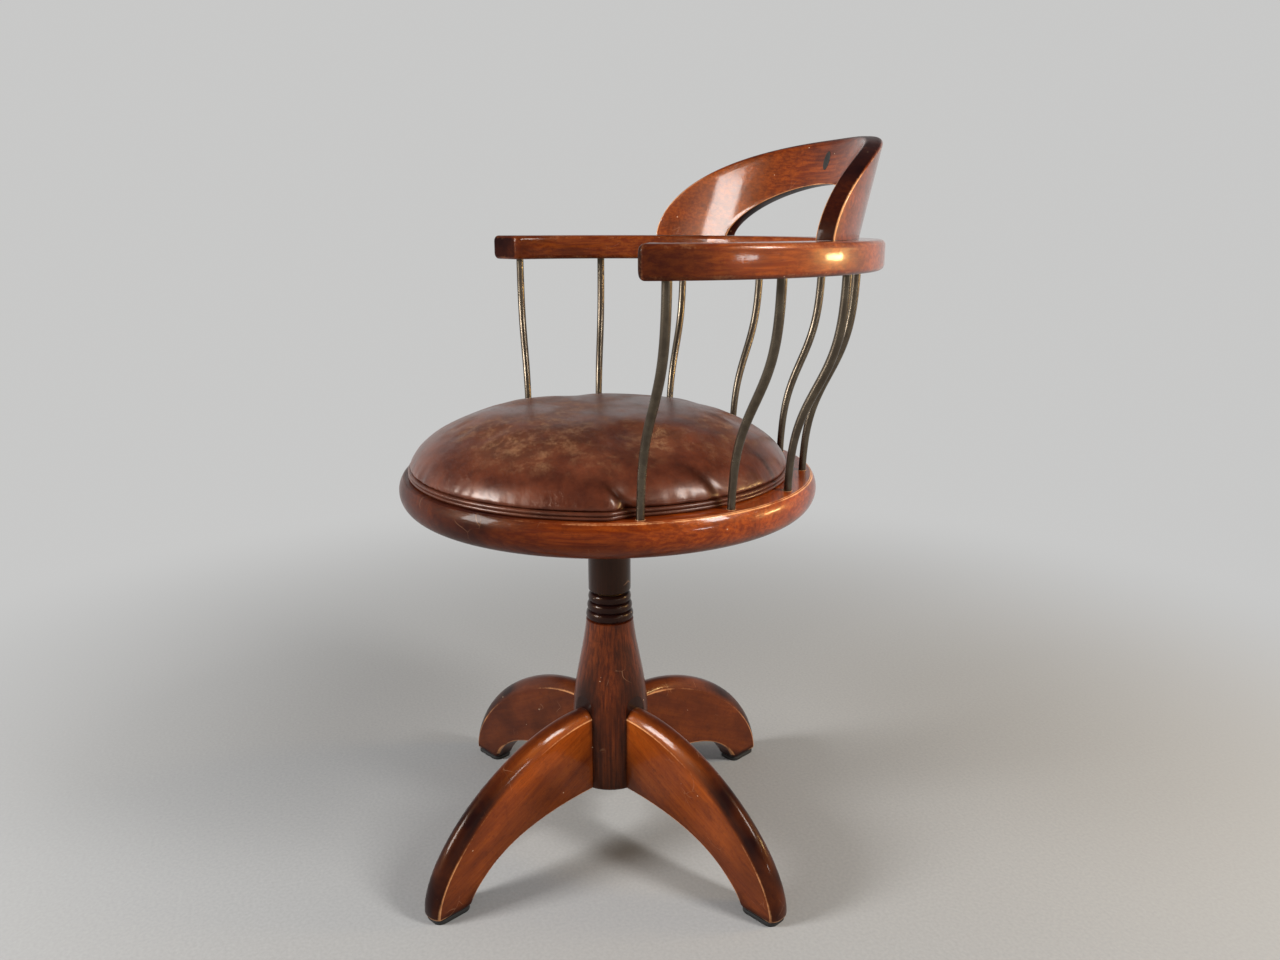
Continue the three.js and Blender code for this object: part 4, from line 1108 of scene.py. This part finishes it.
def bow_section(angle, narrow=0.0, thin=0.0, lead=0.0):
    x = bow_width / 2 - narrow - bow_edge
    z = bow_thickness / 2 - thin - bow_edge
    middle = bow_underside + bow_thickness / 2
    ring = []
    for corner_x, corner_z, start in ((x, z, 0), (-x, z, 1), (-x, -z, 2), (x, -z, 3)):
        for step in range(6):
            turn = (start + step / 5) * pi / 2
            offset = corner_x + bow_edge * cos(turn)
            place = copysign(along_bow(abs(angle), lead * offset), angle)
            ring.append(bow_point(place, offset, middle + corner_z + bow_edge * sin(turn)))
    return ring


def drawn_in(radius, distance):
    left = max(0.0, radius - distance)
    return radius - sqrt(radius * radius - left * left)


mahogany_arms = varnished_mahogany(
    "mahogany_arms", (0.065, 0.010, 0.004), (0.210, 0.030, 0.005), (0.40, 0.088, 0.010), 0.9
)


def arm_stain_and_shade(place, facing):
    # Darker toward the tips and nearly black on the end faces; painted shade on the underside.
    toward_tip = 0.66 * ease(swivel.y + 0.03 - place.y, 0, 0.08)
    tip = 0.98 * ease(-facing.y, 0.62, 0.85)
    return max(toward_tip, tip, 0.5 * ease(-facing.z, 0.3, 0.9))


for side, name, node in ((1, "bow_arm_right", "arm_right"), (-1, "bow_arm_left", "arm_left")):
    start = along_bow(joint_angle, 0.00015)
    end = along_bow(arm_end, -tip_corner)
    sections = []
    for step in range(65):
        angle = side * (start + (end - start) * step / 64)
        sections.append(bow_section(angle, lead=tip_lead * ease(step, 57, 64)))
    for step in range(1, 11):
        distance = tip_corner * (1 - sin(pi / 2 * step / 10))
        angle = side * along_bow(arm_end, -distance)
        narrow, thin = drawn_in(tip_corner, distance), drawn_in(bow_edge, distance)
        sections.append(bow_section(angle, narrow, thin, tip_lead))
    arm = draw_out(name, sections)
    smooth(arm, 35)
    mark_arrises(arm, 60, 420)
    # The far arm is darker with painted shade.
    painted_shade_least = 0.0 if side > 0 else 0.42
    lay_stain_and_shade(arm, lambda place, facing: max(painted_shade_least, arm_stain_and_shade(place, facing)))
    turned = Matrix.Rotation(side * radians(8), 3, "Z")
    lay_grain(arm, lambda place: turned @ Vector((place.y, place.x, place.z)), (0.6 * side, 0.1, 0))
    finish_piece(arm, "seat", node, mahogany_arms)

end = along_bow(joint_angle, -0.00015)
rail = draw_out("bow_back_rail", [bow_section(-end + 2 * end * step / 64) for step in range(65)])
smooth(rail, 35)
mark_arrises(rail, 60, 420)
# Painted shade on the underside.
lay_stain_and_shade(rail, lambda place, facing: 0.5 * ease(-facing.z, 0.3, 0.9))
lay_grain(rail, lambda place: place.copy(), (1.3, 0.4, 0.2))
finish_piece(rail, "seat", "back_rail", mahogany_arms)
paint_nodes(dowel_beech, "bow_dowel_right", "bow_dowel_left")


# Crest. A bent board of mahogany, arched on top, with a half-moon hand hole. It stands on the
# bow on two feet and leans back, most in the middle. Its edges are eased and rubbed pale, which
# also stands in for their highlights. Its edge faces are stained dark, and the underside of the
# hand hole also carries painted shade.
crest_end = radians(57.4)
window_end = radians(33.6)
crest_half = 0.0096
crest_lean = radians(14.6)
front_edge = 0.0016


def crest_point(angle, rise, side):
    lean = crest_lean + (radians(4.5) - crest_lean) * (angle / crest_end) ** 2
    offset = rise * tan(lean) + side / cos(lean) - 0.0118
    return bow_point(angle, offset, bow_top + 0.0003 + rise)


def arch_point(turn, end, rise, span_share, rise_share):
    across = copysign(abs(cos(turn)) ** span_share, cos(turn))
    return end * across, rise * abs(sin(turn)) ** rise_share


def crest_section(turn):
    inner_angle, inner_rise = arch_point(turn, window_end, 0.0577, 2 / 2.07, 2 / 1.55)
    outer_angle, outer_rise = arch_point(turn, crest_end, 0.1072, 2 / 2.43, 2 / 1.77)
    span = hypot((outer_angle - inner_angle) * bow_half_span, outer_rise - inner_rise)
    top_edge = front_edge + 0.0054 * sin(turn) ** 3
    front = []
    for part in range(4):
        bend = radians(90 - 30 * part)
        share = front_edge * (1 - sin(bend)) / span
        front.append((share, front_edge * (1 - cos(bend)) - crest_half))
    front += [(0.08 + 0.76 * part / 8, -crest_half) for part in range(9)]
    for part in range(7):
        bend = radians(15 * part)
        share = 1 - top_edge * (1 - sin(bend)) / span
        front.append((share, top_edge * (1 - cos(bend)) - crest_half))
    ring = []
    for share, side in front + [(share, -side) for share, side in reversed(front)]:
        angle = inner_angle + (outer_angle - inner_angle) * share
        ring.append(crest_point(angle, inner_rise + (outer_rise - inner_rise) * share, side))
    return ring


crest = draw_out("arched_crest", [crest_section(pi * step / 96) for step in range(97)])
smooth(crest, 35)
mark_arrises(crest, 150, 700, 0.12)


def crest_stain_and_shade(place, facing):
    # Edge faces are stained dark; the hand hole's underside, the darkest, also carries painted shade.
    flat = Vector((place.x - bow_centre.x, place.y - bow_centre.y, 0))
    out = Vector((flat.x / bow_half_span**2, flat.y / bow_half_depth**2, 0)).normalized()
    edge_face = 1 - ease(abs(facing.dot(out)), 0.35, 0.75)
    hole = 0.98 * ease(-facing.z, -0.1, 0.25)
    return edge_face * max(hole, 0.92)


lay_stain_and_shade(crest, crest_stain_and_shade)
lay_grain(crest, lambda place: Vector((place.x, place.z, place.y)), (2.1, 0.6, 0.3))
mahogany_crest = varnished_mahogany(
    "mahogany_crest", (0.040, 0.005, 0.002), (0.142, 0.0175, 0.0018), (0.32, 0.060, 0.005), 0.9
)
finish_piece(crest, "seat", "crest", mahogany_crest)


# Crest plug and screws. A plain upright oval plug of dark wood is let into the middle of the
# crest's front face, and four steel screws come up through the bow into the crest's feet.
plug_height = 0.021
plug_width = 0.0125
plug_depth = 0.0055
plug_shape = {"vertices": 48, "radius": plug_height / 2, "depth": plug_depth}
plug = start_piece("crest_plug_dark", bpy.ops.mesh.primitive_cylinder_add, **plug_shape)
bpy.ops.transform.resize(value=(plug_width / plug_height, 1, 1))
close_up(plug)
round_over(plug, 0.0005, 3, 40)
smooth(plug, 40)
plug.data.transform(Matrix.Translation((0, 0, 0.0005 - plug_depth / 2)))
plug.data.transform(Matrix.Rotation(pi / 2 - crest_lean, 4, "X"))
plug.data.transform(Matrix.Translation(crest_point(0, 0.0837, -crest_half)))
dark_plug = plain_finish(
    "dark_plug", (0.009, 0.008, 0.006), (0.022, 0.019, 0.014), 0.0, 0.52, 0.2, 210, 0.0003
)
finish_piece(plug, "seat", "crest_plug", dark_plug)
paint_nodes(bright_steel, *numbered("crest_screw", 4))
